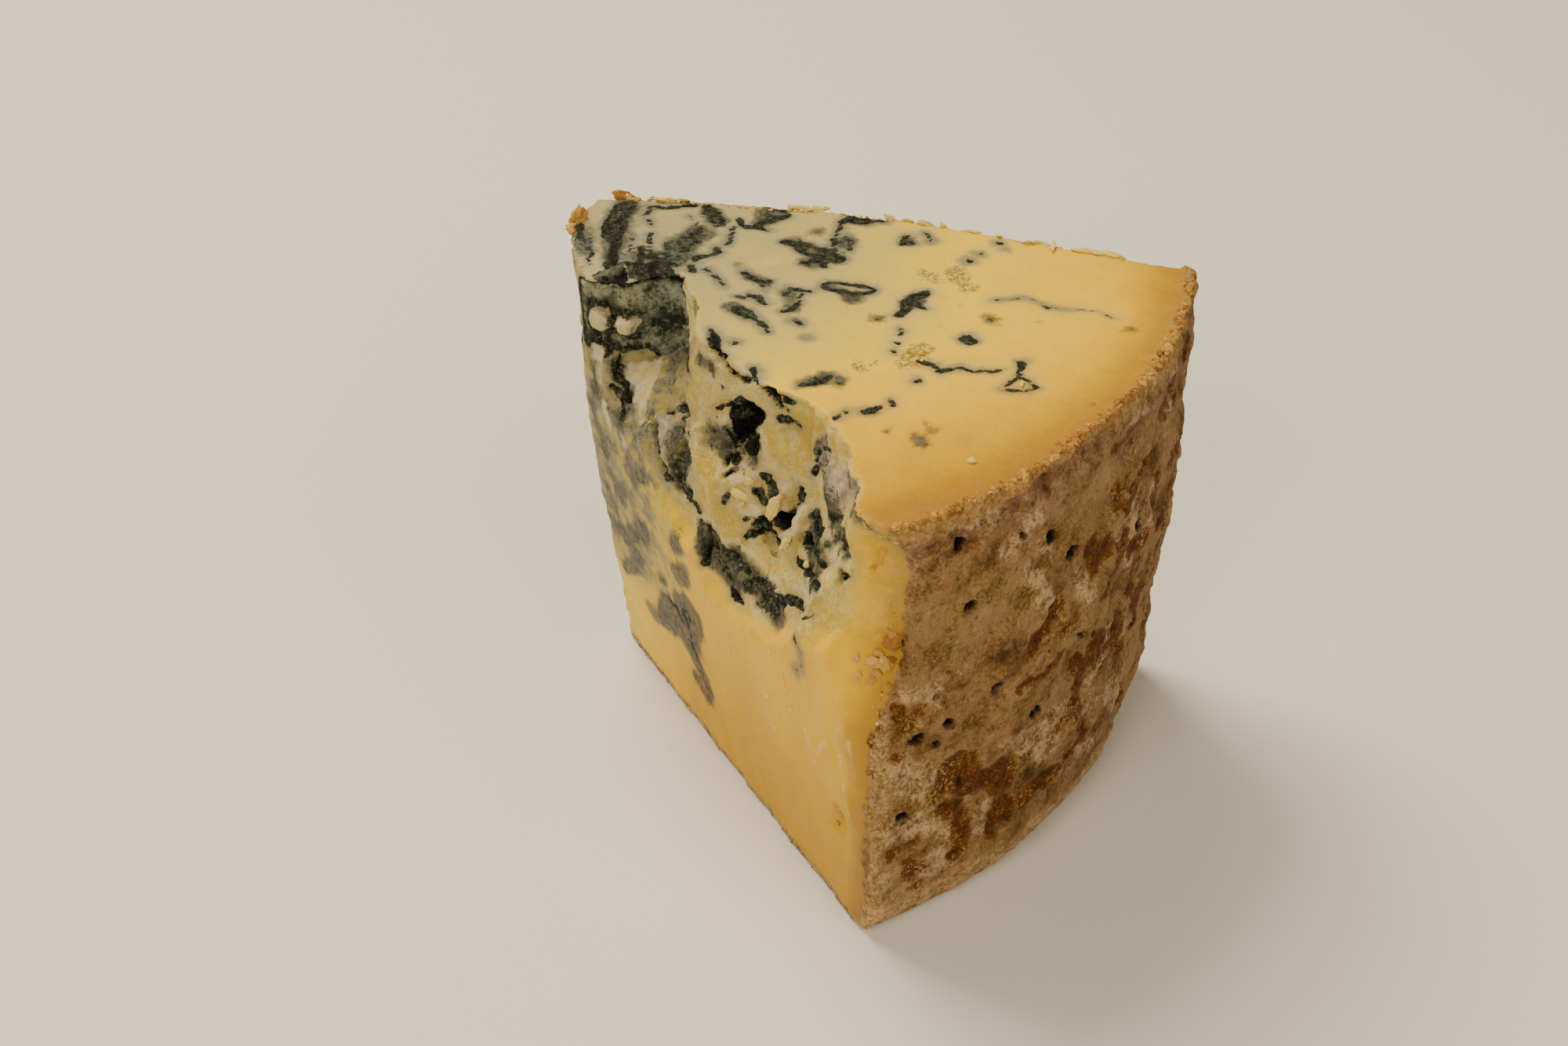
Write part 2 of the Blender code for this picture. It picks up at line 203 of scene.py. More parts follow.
# %% Veins on the top: (half width, points as (x, y) from the wheel's axis)
TOP_VEINS = (
    # the wide double streak across the nose
    (0.45, (-3.9, 5.3), (-4.9, 4.6), (-5.4, 3.1), (-4.4, 1.5), (-3.4, 0.1)),
    (0.75, (-3.4, 0.1), (-2.7, -1.4), (-1.9, -2.7)),
    (0.35, (-3.9, 5.2), (-3.2, 3.4), (-2.3, 1.6), (-1.3, -0.3)),
    (0.3, (-4.6, 4.2), (-3.4, 2.4), (-2.6, 1.2), (-1.8, -0.9)),
    (0.6, (-1.3, -0.3), (-0.4, -1.9), (0.6, -3.6), (1.4, -5.2), (2.4, -6.6), (3.9, -7.9), (5.4, -9.2)),
    (0.3, (-1.9, -2.7), (-0.9, -2.9), (-0.2, -3.5)),
    (0.22, (-2.8, -4.6), (-1.6, -6.0), (-0.6, -7.1), (0.4, -8.6)),
    (0.55, (2.2, -7.2), (4.1, -7.7), (6.1, -7.9), (7.7, -7.3), (9.0, -6.7), (10.4, -6.0)),
    (0.28, (4.3, -5.9), (5.2, -5.9), (6.5, -5.3), (7.8, -4.1)), (0.3, (6.2, -7.4), (6.9, -5.8)),
    # the line and the curl behind it
    (0.32, (2.8, 9.6), (1.6, 8.3), (0.4, 7.2), (-0.9, 6.3), (-1.9, 5.7)),
    (0.26, (-1.8, 5.6), (-1.2, 4.6), (-0.9, 3.6)), (0.16, (0.0, 3.1), (0.7, 2.9), (1.4, 2.3)),
    (0.5, (3.8, 10.3), (4.4, 9.8), (5.1, 8.8)), (0.34, (4.6, 10.4), (6.0, 10.0), (7.1, 9.1), (8.4, 7.5)),
    (0.22, (6.1, 8.9), (6.8, 7.7), (7.9, 6.9)), (0.2, (3.6, 7.0), (4.5, 6.8)),
    (0.25, (5.5, 6.2), (5.8, 5.5)), (0.3, (6.8, 5.2), (7.4, 4.2), (6.6, 3.9), (7.6, 3.0), (6.5, 2.3)),
    (0.28, (8.1, 2.8), (8.6, 1.9), (8.6, 0.9), (9.1, -0.2)),
    (0.22, (6.6, 1.2), (7.3, 0.5), (8.3, -0.3), (8.8, -1.4), (9.6, -2.3)),
    (0.2, (5.4, 0.5), (6.4, -0.3), (7.3, -1.4), (8.0, -2.4)),
    (0.28, (2.6, 0.5), (3.5, -0.4), (4.5, -1.4)), (0.2, (1.3, -1.3), (1.7, -1.7)),
    # the cluster above the notch
    (0.3, (2.2, -2.7), (2.8, -3.4), (3.3, -3.9)),
    (0.36, (3.5, -2.3), (4.2, -2.9), (5.0, -3.9), (5.6, -5.1), (6.2, -6.3)),
    (0.3, (4.9, -2.2), (5.8, -2.9), (7.0, -2.5), (8.0, -2.8)),
    (0.4, (5.8, -3.5), (7.2, -3.5), (8.6, -3.9), (10.0, -3.6)),
    (0.6, (7.6, -4.1), (8.8, -4.6), (10.4, -5.1)), (0.7, (7.6, -5.6), (8.6, -6.8), (9.6, -8.0)),
    (0.5, (4.2, -6.5), (5.6, -7.6), (6.8, -9.0)), (0.45, (-6.0, -2.8), (-4.9, -4.2), (-4.2, -5.0)),
    (0.3, (-4.6, -6.2), (-2.9, -7.9), (0.0, -10.2)),
    # the middle
    (0.3, (9.9, 8.0), (10.6, 7.1), (10.9, 5.9), (12.0, 4.5)),
    (0.4, (11.6, 2.8), (12.5, 2.1), (12.2, 1.1), (11.3, 0.2), (11.0, -0.7), (11.5, -1.3)),
    (0.4, (9.2, 10.1), (10.2, 9.3), (11.3, 9.3), (12.6, 9.7), (13.8, 9.9)),
    (0.42, (12.3, 9.9), (12.1, 11.0), (12.9, 12.0), (12.7, 13.3), (13.7, 13.9)),
    (0.3, (10.7, 14.8), (11.8, 15.1), (13.2, 15.0), (13.9, 14.4)),
    (0.36, (11.0, 16.6), (12.1, 15.9), (13.1, 16.3), (14.2, 16.8), (15.2, 17.4)),
    (0.5, (20.4, 17.0), (20.5, 18.6), (21.7, 19.2), (23.0, 19.6), (24.3, 20.3)),
    (0.3, (21.0, 17.6), (22.3, 18.1), (23.3, 19.0)),
    (0.24, (20.4, 16.8), (20.9, 15.6), (21.5, 14.3), (22.1, 13.0)), (0.5, (22.1, 13.0), (22.5, 12.7)),
    (0.3, (22.6, 12.3), (23.1, 11.4), (23.9, 10.7)),
    (0.26, (22.7, 14.3), (23.8, 13.9), (24.6, 13.0), (25.0, 11.9)),
    (0.6, (17.5, 8.9), (18.7, 9.0), (19.6, 9.6), (19.8, 8.5)),
    (0.36, (18.6, 10.1), (21.0, 10.1), (23.6, 9.9), (25.6, 9.9), (25.8, 9.1), (24.8, 8.7)),
    (0.3, (19.9, 8.3), (21.4, 8.1), (22.6, 8.7), (23.8, 9.0)),
    (0.3, (23.2, 8.4), (24.2, 7.7), (25.0, 7.2)), (0.34, (23.3, 7.7), (22.9, 6.8), (22.4, 6.0)),
    (0.4, (17.7, 0.1), (19.3, -0.1), (20.6, -0.3), (21.7, 0.3)),
    (0.24, (20.7, -0.6), (21.8, -0.9), (22.4, -1.3)), (0.5, (12.0, -2.8), (12.6, -3.2)),
    (0.3, (13.9, -2.0), (14.8, -2.3), (16.0, -2.9), (17.8, -3.6)),
    (0.28, (20.6, -4.5), (21.7, -4.2), (21.6, -3.4), (22.6, -3.1), (24.1, -3.7)),
    (0.32, (21.9, -6.8), (22.7, -6.2), (23.7, -6.3), (24.4, -6.9), (24.8, -7.7), (23.5, -7.2), (22.4, -7.2)),
    (0.32, (25.0, -7.0), (26.5, -7.5), (27.7, -8.0), (28.5, -8.7)),
    (0.3, (24.4, 0.6), (25.7, 0.7), (27.1, 1.3)), (0.24, (24.6, 0.2), (25.0, -0.8), (25.9, -1.5)),
    (0.26, (26.6, 0.1), (27.0, -0.8), (27.6, -1.5)), (0.34, (27.5, -2.0), (27.8, -3.0), (27.2, -4.0)),
    (0.3, (27.1, 3.3), (27.8, 4.2), (29.2, 5.1), (31.0, 6.1), (32.8, 6.2), (33.1, 5.4), (32.2, 4.5)),
    (0.3, (27.1, 3.3), (28.2, 2.8), (29.6, 3.4), (31.0, 3.9), (32.6, 4.8)),
    (0.3, (28.9, 18.8), (29.5, 16.9), (30.4, 17.9)), (0.2, (30.5, 20.5), (32.0, 19.6)),
    (0.3, (22.7, -12.0), (23.9, -13.0), (24.9, -13.7)), (0.4, (26.8, -12.6)),
    (0.45, (24.0, -13.7), (26.0, -15.0), (28.0, -16.2), (30.2, -17.4), (33.3, -18.0)),
    (0.3, (31.8, -15.6), (33.0, -16.8), (33.6, -17.7)), (0.25, (29.3, -5.0), (30.5, -5.1)),
    (0.25, (32.8, -6.9)),
    # the right
    (0.6, (38.4, 9.0), (37.7, 7.8), (37.6, 6.4), (38.2, 5.0), (38.6, 3.5)),
    (0.4, (37.9, 6.8), (39.0, 6.8), (40.1, 6.4)), (0.3, (40.5, 1.2), (41.0, 0.3)), (0.3, (41.8, -1.5)),
    (0.25, (42.4, -3.2), (43.0, -3.7)), (0.32, (46.1, -3.2), (48.3, -2.9), (49.3, -3.8), (50.0, -2.6)),
    (0.22, (50.0, -2.6), (50.6, -1.8), (52.4, -1.3), (54.0, -0.4), (54.6, 0.6)), (0.5, (48.2, -6.9)),
    (0.8, (47.9, 3.7), (48.4, 3.6)), (0.42, (55.8, 3.4), (56.4, 2.2)),
    (0.24, (56.4, 2.2), (57.2, 0.9), (58.6, 0.3), (59.9, -0.1), (59.3, -1.3), (57.8, -2.2), (56.4, -2.7)),
    (0.24, (56.2, 2.0), (57.0, 0.2), (57.0, -1.3), (56.4, -2.6)),
    (0.36, (39.8, -11.8), (39.7, -13.2), (38.9, -14.2), (38.2, -14.9)),
    (0.24, (48.0, -11.6), (48.7, -12.3)), (0.36, (48.0, -13.4), (47.6, -14.6), (46.8, -15.2)),
    (0.3, (45.5, -16.3), (45.2, -17.9)), (0.5, (39.2, 24.0)), (0.3, (40.5, 23.1)), (0.3, (38.8, 20.6)),
    (0.45, (38.5, 18.2)), (0.28, (51.8, 15.1)),
    (0.03, (46.1, 12.8), (48.3, 15.0), (49.6, 15.3), (51.8, 15.1), (53.6, 16.0), (55.0, 17.1), (57.0, 18.0),
     (59.3, 17.8)),
)
print(len(TOP_VEINS), "veins on the top")

# %% Other stains on the top, as strokes of the same kind
TOP_GLOOM = (
    (0.55, (7.4, -4.6), (9.0, -6.2), (10.2, -7.8)), (0.3, (2.4, -6.4), (4.4, -8.2), (6.4, -9.6)),
    (0.3, (0.4, -3.4), (1.6, -5.4), (2.6, -6.8)), (0.3, (23.0, -12.4), (24.6, -13.6)),
    (0.4, (24.6, -14.0), (26.0, -15.0)), (0.35, (20.6, 17.8), (21.8, 19.0)),
)
TOP_HAZE = (
    (1.8, (-4.6, 4.0), (-2.6, 0.6), (-0.6, -2.6), (1.6, -5.6)),
    (2.4, (7.6, 4.0), (7.8, 0.6), (9.0, -2.6)), (1.4, (5.0, 9.4), (7.4, 8.2)),
    (2.6, (6.0, -4.4), (8.4, -6.0)), (1.2, (10.6, 13.6), (12.4, 11.0), (12.0, 14.9)), (1.3, (19.3, 13.4)),
    (1.3, (23.6, 13.0)), (1.6, (18.6, 9.2), (24.4, 9.0), (23.2, 7.0)), (1.3, (22.0, 18.6)),
    (1.3, (22.2, -6.8)), (1.1, (19.0, -0.2), (21.6, -0.3)), (1.1, (25.0, -0.4), (27.4, -2.6)),
    (0.8, (16.4, 1.0)), (1.2, (28.4, 3.8), (32.2, 3.0)), (1.1, (29.6, 17.8)), (1.3, (41.8, 26.8)),
    (1.4, (38.2, 7.0)), (1.2, (39.4, -12.6), (38.6, -14.6)), (0.7, (41.4, -12.3)), (0.9, (47.6, -14.4)),
    (1.0, (48.0, 9.0)), (0.5, (52.4, 11.8)), (0.5, (61.8, 16.5)), (0.6, (53.8, -12.9), (55.2, -13.8)),
    (0.7, (51.1, -17.0)), (0.6, (54.6, -16.0), (56.1, -16.3)), (0.9, (36.9, 1.5)),
    (1.4, (-2.0, -6.4), (-4.4, -4.2)),
)
TOP_OCHRE = (
    (1.9, (45.0, -1.4), (45.4, -4.6)), (1.6, (38.4, 15.2), (39.6, 14.4)),
    (1.3, (40.8, 13.7), (42.0, 13.0)), (1.2, (35.6, 12.8), (37.8, 12.4)),
    (1.0, (40.6, -8.0), (41.9, -8.7)), (0.5, (43.6, 9.3)), (0.35, (62.5, -4.1)),
)
print(len(TOP_GLOOM), "dark,", len(TOP_HAZE), "hazy and", len(TOP_OCHRE), "ochre places on the top")

# %% Veins on the left cut: (half width, points as (distance from the nose, height))
LEFT_VEINS = (
    # the notch next to the nose
    (2.2, (3.0, 66.0), (3.2, 61.4)), (2.6, (2.0, 61.6), (6.0, 60.8), (9.0, 59.4)),
    (1.3, (1.0, 60.0), (1.2, 56.0), (1.6, 53.5)), (0.9, (1.8, 53.5), (3.2, 52.3)),
    (1.5, (4.4, 54.4), (8.0, 55.0), (10.4, 55.0)), (1.0, (6.6, 58.0), (6.8, 55.8)),
    (0.5, (4.0, 59.0), (3.9, 56.0), (3.5, 53.0)), (1.7, (7.3, 66.0), (7.2, 57.0), (8.0, 54.4)),
    (0.8, (9.2, 55.0), (11.6, 54.4), (13.6, 54.2), (15.8, 55.4)),
    (0.35, (9.0, 60.6), (8.6, 58.4), (9.4, 56.4)),
    # below the notch
    (0.5, (5.1, 52.7), (5.5, 51.0), (6.8, 49.3), (8.5, 48.0)),
    (0.35, (5.8, 48.8), (7.6, 47.9), (8.8, 46.2)), (0.7, (16.8, 50.9), (18.2, 51.4), (19.6, 51.9)),
    (0.45, (18.4, 50.2), (19.8, 50.6)), (0.3, (15.5, 49.8), (16.5, 49.8)),
    (0.3, (21.0, 49.8), (21.5, 48.7), (22.3, 48.2)), (0.26, (21.0, 49.4), (21.7, 47.3)),
    (0.28, (14.8, 47.6), (16.0, 46.2), (17.4, 45.1), (18.3, 44.2)),
    (0.6, (18.3, 44.2), (19.0, 42.7), (20.2, 43.1)), (0.8, (21.0, 45.2), (21.4, 43.6)),
    (0.65, (22.3, 42.5), (23.0, 42.2)), (0.32, (23.4, 41.5), (25.0, 40.8)),
    (0.4, (25.9, 40.0), (28.9, 40.0)), (0.65, (27.6, 39.4), (28.2, 37.9), (27.9, 36.3), (27.7, 35.1)),
    (0.4, (29.2, 38.2), (30.4, 36.4), (33.0, 36.1)),
    # the seam under the top edge
    (0.7, (24.0, 63.6), (25.6, 62.5)), (0.4, (25.6, 62.4), (28.0, 61.8), (29.8, 62.2), (31.8, 63.2)),
    (0.65, (34.2, 63.0), (35.6, 62.0), (36.7, 61.1)), (0.4, (35.6, 63.4), (37.6, 62.4)),
    (0.28, (36.0, 59.5), (38.2, 59.3)), (0.3, (26.5, 59.0)),
    (0.4, (25.4, 55.6), (26.4, 56.4), (27.8, 57.3)), (0.25, (25.3, 54.0)),
    (0.3, (25.0, 52.1), (25.6, 52.3)), (0.28, (30.1, 45.4), (31.0, 47.0)),
    # the deep hollow
    (1.5, (29.6, 57.6), (31.4, 58.9), (33.2, 59.5)), (1.5, (30.4, 55.6), (32.2, 56.4), (32.5, 54.2)),
    (0.6, (28.4, 57.4), (28.6, 54.6)), (0.08, (55.8, 62.4), (59.1, 63.0), (61.4, 62.4), (63.2, 60.8)),
    # the smear low on the cut
    (0.38, (20.4, 21.8), (21.6, 20.4), (22.4, 18.2)), (0.3, (22.4, 17.2), (23.4, 15.0)),
    (0.3, (18.2, 20.6), (19.6, 19.2)), (0.22, (16.2, 21.4), (17.2, 20.0)),
    (0.2, (21.4, 22.4), (22.6, 21.4)),
    # between the hollow and the ledge
    (1.0, (30.6, 51.0), (31.6, 50.6)), (0.34, (42.4, 58.0), (41.9, 56.2), (41.6, 54.6)),
    (0.28, (43.0, 58.8), (45.0, 59.7)), (0.5, (47.4, 52.6), (48.8, 53.5), (49.8, 54.0)),
    (0.55, (50.4, 52.7), (53.0, 53.2)), (0.36, (54.8, 50.1), (54.2, 50.9), (55.3, 51.1)),
    (0.14, (55.3, 51.1), (57.8, 53.6)), (0.85, (43.8, 50.6), (46.2, 50.1)),
    (0.85, (43.6, 47.6), (45.2, 48.0)), (0.4, (46.8, 48.8), (49.8, 48.6)),
    (0.55, (44.0, 45.0), (46.6, 45.5), (49.0, 46.2), (51.0, 47.1)),
    (0.45, (40.3, 51.7), (40.5, 50.2), (40.3, 48.8)), (0.6, (35.2, 51.5), (36.4, 50.7), (37.1, 49.3)),
    (0.7, (34.4, 48.8), (36.6, 48.4)), (1.0, (37.4, 47.3), (39.6, 47.9)),
    (1.4, (36.0, 44.9), (39.4, 44.7)), (0.5, (34.5, 42.6), (35.3, 43.4)),
    (0.4, (33.4, 44.6), (34.6, 45.6)),
    # the band of mould along the ledge
    (0.65, (30.5, 39.0), (33.5, 39.3), (36.5, 39.2)),
    (0.7, (38.0, 38.8), (40.4, 39.8), (43.2, 39.7), (44.8, 40.5)), (0.8, (40.4, 38.0), (43.4, 38.4)),
    (0.42, (40.2, 36.9), (43.2, 37.0)), (0.6, (45.0, 41.0), (47.0, 41.7), (48.8, 42.1)),
    (0.7, (32.4, 36.6), (32.6, 35.2)), (0.9, (33.6, 33.9), (35.4, 34.4)),
    (0.45, (36.5, 37.4), (37.5, 38.1)), (0.16, (49.8, 39.8), (51.3, 38.6), (51.6, 36.2), (50.2, 34.6)),
    (0.26, (50.4, 42.2), (52.0, 43.3)),
)
print(len(LEFT_VEINS), "veins on the left cut")

# %% Other stains on the left cut, painted shade in its cracks and hollows, and the cream blocks that the mould spared
# painted shade, all but black: in the cracks, in the deep hollow and under the top's overhanging edge
LEFT_CRACK_SHADE = (
    (1.4, (30.6, 57.6), (31.6, 58.8), (33.0, 59.0)), (1.3, (32.0, 57.2), (32.4, 54.8)),
    (1.2, (31.0, 57.6), (31.8, 56.0)), (0.9, (29.0, 54.4), (29.6, 53.0)),
    (0.5, (27.8, 57.4), (28.6, 56.8)), (0.55, (29.2, 50.9), (28.5, 50.0)),
    (0.35, (30.4, 49.6), (29.8, 48.8)), (0.5, (30.0, 54.0), (31.2, 52.6)),
    (0.75, (37.2, 47.4), (40.0, 47.9)), (0.35, (24.0, 63.2), (25.6, 62.4), (28.0, 61.8)),
    (0.4, (34.4, 62.8), (36.2, 61.4)), (0.45, (0.6, 62.9), (4.0, 62.6), (8.8, 62.8)),
    (0.25, (54.8, 50.1), (54.2, 50.9), (55.3, 51.1)), (0.35, (43.4, 47.4), (45.2, 47.8)),
    (0.3, (27.8, 38.6), (27.9, 36.0)), (0.25, (14.8, 47.6), (17.4, 45.1)),
    (0.3, (33.8, 34.0), (35.4, 34.4)),
)
LEFT_CLEAN = (
    (0.95, (2.5, 57.7), (2.7, 56.4)), (1.0, (5.2, 57.2), (5.1, 56.2)), (1.4, (7.6, 50.7), (9.2, 50.7)),
    (1.3, (9.2, 50.6), (10.8, 48.9)), (0.8, (10.8, 48.9), (12.2, 47.4)), (0.8, (2.6, 52.6), (3.4, 48.8)),
    (0.75, (5.2, 46.0), (5.9, 43.4)), (1.1, (8.6, 43.4), (11.2, 40.6)), (1.7, (11.6, 62.0), (13.0, 57.8)),
    (0.9, (38.0, 51.4), (38.6, 48.9)), (0.9, (41.2, 49.8), (41.4, 46.0)),
    (1.0, (33.0, 51.0), (31.0, 49.4)), (0.9, (33.0, 45.9), (35.0, 46.6)),
)
LEFT_HAZE = (
    (1.0, (1.2, 44.0), (2.6, 40.0), (3.4, 37.0)), (1.0, (10.6, 41.0), (11.6, 38.0)),
    (1.2, (4.6, 34.0), (6.4, 31.0)), (3.2, (15.5, 17.0), (21.5, 19.0), (23.4, 22.6)),
    (1.3, (23.0, 14.0), (25.4, 10.6)), (1.8, (19.5, 15.4), (22.6, 16.4)),
    (2.1, (19.6, 21.6), (22.8, 17.6)), (1.4, (17.4, 19.8)), (1.6, (21.0, 28.0), (23.0, 30.0)),
    (1.5, (7.0, 25.0), (12.5, 30.0)), (1.3, (1.5, 22.8), (5.0, 24.2)), (0.8, (7.8, 21.6), (9.4, 23.0)),
    (0.8, (14.6, 22.4), (15.8, 23.2)), (1.6, (9.5, 13.0), (15.0, 14.6)), (1.2, (3.0, 16.0), (6.5, 19.0)),
    (1.1, (22.0, 10.2), (24.6, 9.0)), (0.8, (8.8, 46.0), (8.6, 43.0)), (0.9, (2.2, 50.0), (3.0, 47.0)),
    (1.3, (19.0, 47.6), (21.0, 46.0), (21.4, 43.4)), (1.8, (25.0, 51.8), (27.8, 52.0)),
    (1.0, (22.0, 60.6), (24.2, 61.0)), (0.6, (50.0, 60.4), (55.6, 62.4), (59.6, 62.6)),
    (0.5, (4.6, 22.4), (6.4, 24.6)), (0.8, (2.2, 30.0), (3.4, 26.4)), (2.4, (28.0, 38.0), (34.0, 36.0)),
    (2.0, (34.0, 38.6), (44.0, 38.6)), (1.8, (44.6, 49.6), (49.0, 47.4)),
    (1.6, (43.0, 58.8), (45.6, 55.4), (48.0, 53.4)), (1.2, (50.0, 53.0), (53.0, 53.6)),
    (1.4, (32.6, 57.0), (33.0, 53.6)), (1.2, (12.0, 38.8), (16.0, 40.8)), (1.0, (5.6, 31.6), (8.2, 33.2)),
    (1.0, (20.8, 33.0), (22.6, 34.6)),
)
LEFT_DUST = (
    (2.2, (44.0, 58.6), (47.0, 56.4), (49.0, 58.0)), (1.5, (50.6, 59.8), (54.4, 61.6)),
    (1.1, (16.0, 48.6), (17.4, 46.8)),
)
LEFT_OCHRE = (
    (0.5, (12.2, 47.8), (13.8, 47.9)), (0.5, (20.2, 48.6), (20.3, 46.0)),
    (0.6, (22.6, 36.4), (23.8, 36.6)), (0.8, (34.6, 49.6), (36.0, 48.2)),
    (0.7, (63.6, 46.2), (64.4, 47.4)), (0.5, (7.0, 47.4), (8.2, 46.8)), (0.6, (57.2, 15.6), (58.4, 18.4)),
    (0.8, (61.0, 62.0), (63.4, 61.0)), (0.4, (20.4, 43.0), (20.6, 41.6)),
)
LEFT_FLECKS = (
    (0.32, (33.4, 27.4), (34.7, 25.1)), (0.26, (39.2, 32.4), (40.3, 29.0)),
    (0.22, (30.6, 15.9), (30.9, 14.9)), (0.5, (42.5, 24.7), (43.9, 25.0)),
    (0.26, (41.7, 28.6), (40.8, 26.4)), (0.3, (42.6, 21.9), (43.9, 21.4), (43.6, 19.2)),
    (0.2, (45.0, 22.8), (45.2, 21.6)), (0.5, (51.8, 26.1), (53.4, 24.7)),
    (0.4, (54.8, 24.8), (56.9, 28.4)), (0.3, (58.4, 29.7), (59.4, 28.2), (60.1, 26.2)),
    (0.6, (50.6, 41.6), (52.4, 42.2)), (0.3, (48.0, 33.4), (48.9, 31.0)),
    (0.24, (36.8, 33.0), (37.4, 31.2)), (0.24, (52.6, 21.0), (53.4, 19.6)),
    (0.35, (61.0, 24.4), (61.8, 20.8)), (0.3, (62.2, 33.0), (62.6, 30.0)),
    (0.3, (28.0, 31.0), (29.6, 29.4)), (0.2, (36.0, 22.4), (36.6, 21.2)),
)
print(len(LEFT_CRACK_SHADE), "dark,", len(LEFT_CLEAN), "cream and", len(LEFT_HAZE), "hazy places on the left cut")

# %% [markdown]
# ## The rind's marks
# A maker pushes long needles through the rind to let air in, and the mould grows from their channels, so the
# rind shows round holes. Rusty patches and pale dusty bloom cover it in between. They are laid out on the
# unrolled rind: millimetres round the wheel from the middle of the wedge, and height.

# %% Marks on the rind: needle holes as (radius, round, height), patches as strokes
NEEDLE_HOLES = (
    (0.95, (-22.7, 49.7)), (1.0, (-28.9, 33.0)), (0.8, (-24.7, 33.3)), (0.95, (-18.0, 35.3)),
    (1.1, (-10.6, 26.8)), (0.9, (-30.2, 20.4)), (0.6, (-22.3, 22.4)), (1.05, (-6.5, 48.7)),
    (0.9, (-10.8, 53.0)), (0.9, (-24.6, 59.0)), (0.5, (-16.1, 56.5)), (0.5, (-0.6, 35.0)),
    (0.5, (-0.4, 32.6)), (0.4, (-3.4, 34.8)), (0.4, (-26.0, 30.8)), (0.9, (8.2, 43.6)),
    (0.8, (14.5, 23.0)), (0.9, (20.6, 37.8)), (0.8, (27.4, 51.6)), (0.9, (24.2, 14.6)),
)
RUST = (
    (0.9, (-29.6, 59.6), (-27.2, 60.2)), (0.8, (-25.0, 60.8), (-23.2, 59.0)),
    (0.5, (-17.6, 61.6), (-17.2, 60.4)), (2.4, (-23.0, 25.4), (-21.6, 22.6)),
    (2.3, (-21.0, 21.0), (-16.4, 20.2), (-15.0, 19.0)), (1.5, (-22.4, 18.2), (-24.4, 19.2)),
    (1.5, (-25.2, 23.8), (-26.0, 22.8)), (1.2, (-21.4, 16.4), (-21.0, 12.2)),
    (1.2, (-13.6, 18.8), (-13.4, 16.6)), (1.8, (-15.2, 13.6), (-14.2, 11.2)),
    (1.0, (-15.8, 10.6), (-15.6, 9.2)), (1.4, (-10.5, 12.0), (-7.0, 13.0), (-5.0, 12.2)),
    (1.3, (-28.2, 9.5), (-27.2, 9.9)), (0.9, (-31.4, 14.6), (-28.6, 15.4)),
    (1.2, (-31.6, 38.0), (-30.6, 35.6)), (0.8, (-28.8, 37.4)), (0.8, (-33.4, 31.0), (-32.0, 31.6)),
    (0.8, (-33.6, 26.0), (-33.4, 21.6)), (0.5, (-29.4, 12.4), (-28.0, 13.0)),
    (1.1, (-12.6, 38.6), (-9.6, 40.6), (-8.6, 41.8)), (0.9, (-7.2, 37.6), (-5.6, 38.6)),
    (0.7, (-14.6, 33.6), (-7.6, 33.8)), (1.1, (-4.0, 30.6), (-2.2, 27.6), (-3.4, 23.6), (-1.4, 20.6)),
    (0.8, (-5.4, 21.0), (-3.0, 20.8)), (1.0, (0.4, 16.6), (2.0, 13.6), (-2.0, 13.0)),
    (0.7, (-17.6, 61.8), (-16.8, 60.6)), (0.7, (-12.4, 61.0)), (0.9, (1.0, 58.6), (3.0, 59.0)),
    (0.9, (2.0, 52.6), (3.0, 51.0)), (0.9, (3.6, 49.0), (5.0, 48.0)), (0.9, (-2.0, 46.0), (2.0, 45.0)),
    (1.3, (10.0, 22.8), (11.4, 22.2)), (0.6, (-20.6, 10.2), (-21.8, 9.2)),
    (0.6, (-27.0, 6.8), (-29.4, 6.4)),
)
BLOOM = (
    (1.6, (-26.6, 9.4), (-22.6, 8.8)), (1.6, (-9.6, 23.4), (-5.0, 23.8)),
    (2.4, (-31.0, 28.0), (-27.0, 24.4)), (2.2, (-31.6, 18.6), (-27.6, 17.6)),
    (1.7, (-18.4, 15.0), (-17.6, 11.6)), (2.2, (-10.0, 20.6), (-7.0, 17.6)),
    (1.5, (-15.4, 24.6), (-12.0, 22.4)), (1.5, (-4.2, 43.6), (-3.0, 41.0)),
    (1.1, (-24.4, 60.8), (-20.0, 60.8)), (1.4, (-12.0, 45.6), (-9.4, 42.6)),
    (1.6, (-31.4, 40.4), (-27.0, 39.4)), (1.4, (-32.8, 12.4), (-32.6, 9.0)),
    (1.8, (2.6, 31.6), (4.0, 26.0)), (1.4, (-14.4, 50.4), (-12.4, 48.0)),
    (1.2, (-12.6, 54.0), (-11.0, 51.0)), (1.5, (-23.6, 13.4), (-24.6, 11.8)),
    (1.0, (-17.6, 55.2), (-14.0, 58.0)),
)
print(len(NEEDLE_HOLES), "needle holes,", len(RUST), "rusty patches")

# %% [markdown]
# ## Veins nobody has drawn
# The back cut and the nose aren't seen from the front, but a cheese is veined all through. There the strokes
# are made by wandering: each starts at a seeded place, and takes a few short steps, turning a little each
# time. Most start towards the nose, because air reached the middle of the wheel best.

# %% Let strokes wander over a face
def wandering_strokes(seed, count, length, low, high, halves):
    chance = np.random.default_rng(seed)
    strokes = []
    for _ in range(count):
        place = np.array([length * chance.beta(1.1, 1.7), chance.uniform(low, high)])
        heading = chance.uniform(0.0, 2.0 * math.pi)
        points = [place]
        for _ in range(chance.integers(1, 6)):
            heading += chance.normal(0.0, 0.7)
            place = place + chance.uniform(0.8, 2.0) * np.array([math.cos(heading), math.sin(heading)])
            points.append(place)
        strokes.append((chance.uniform(*halves), *points))
    return strokes


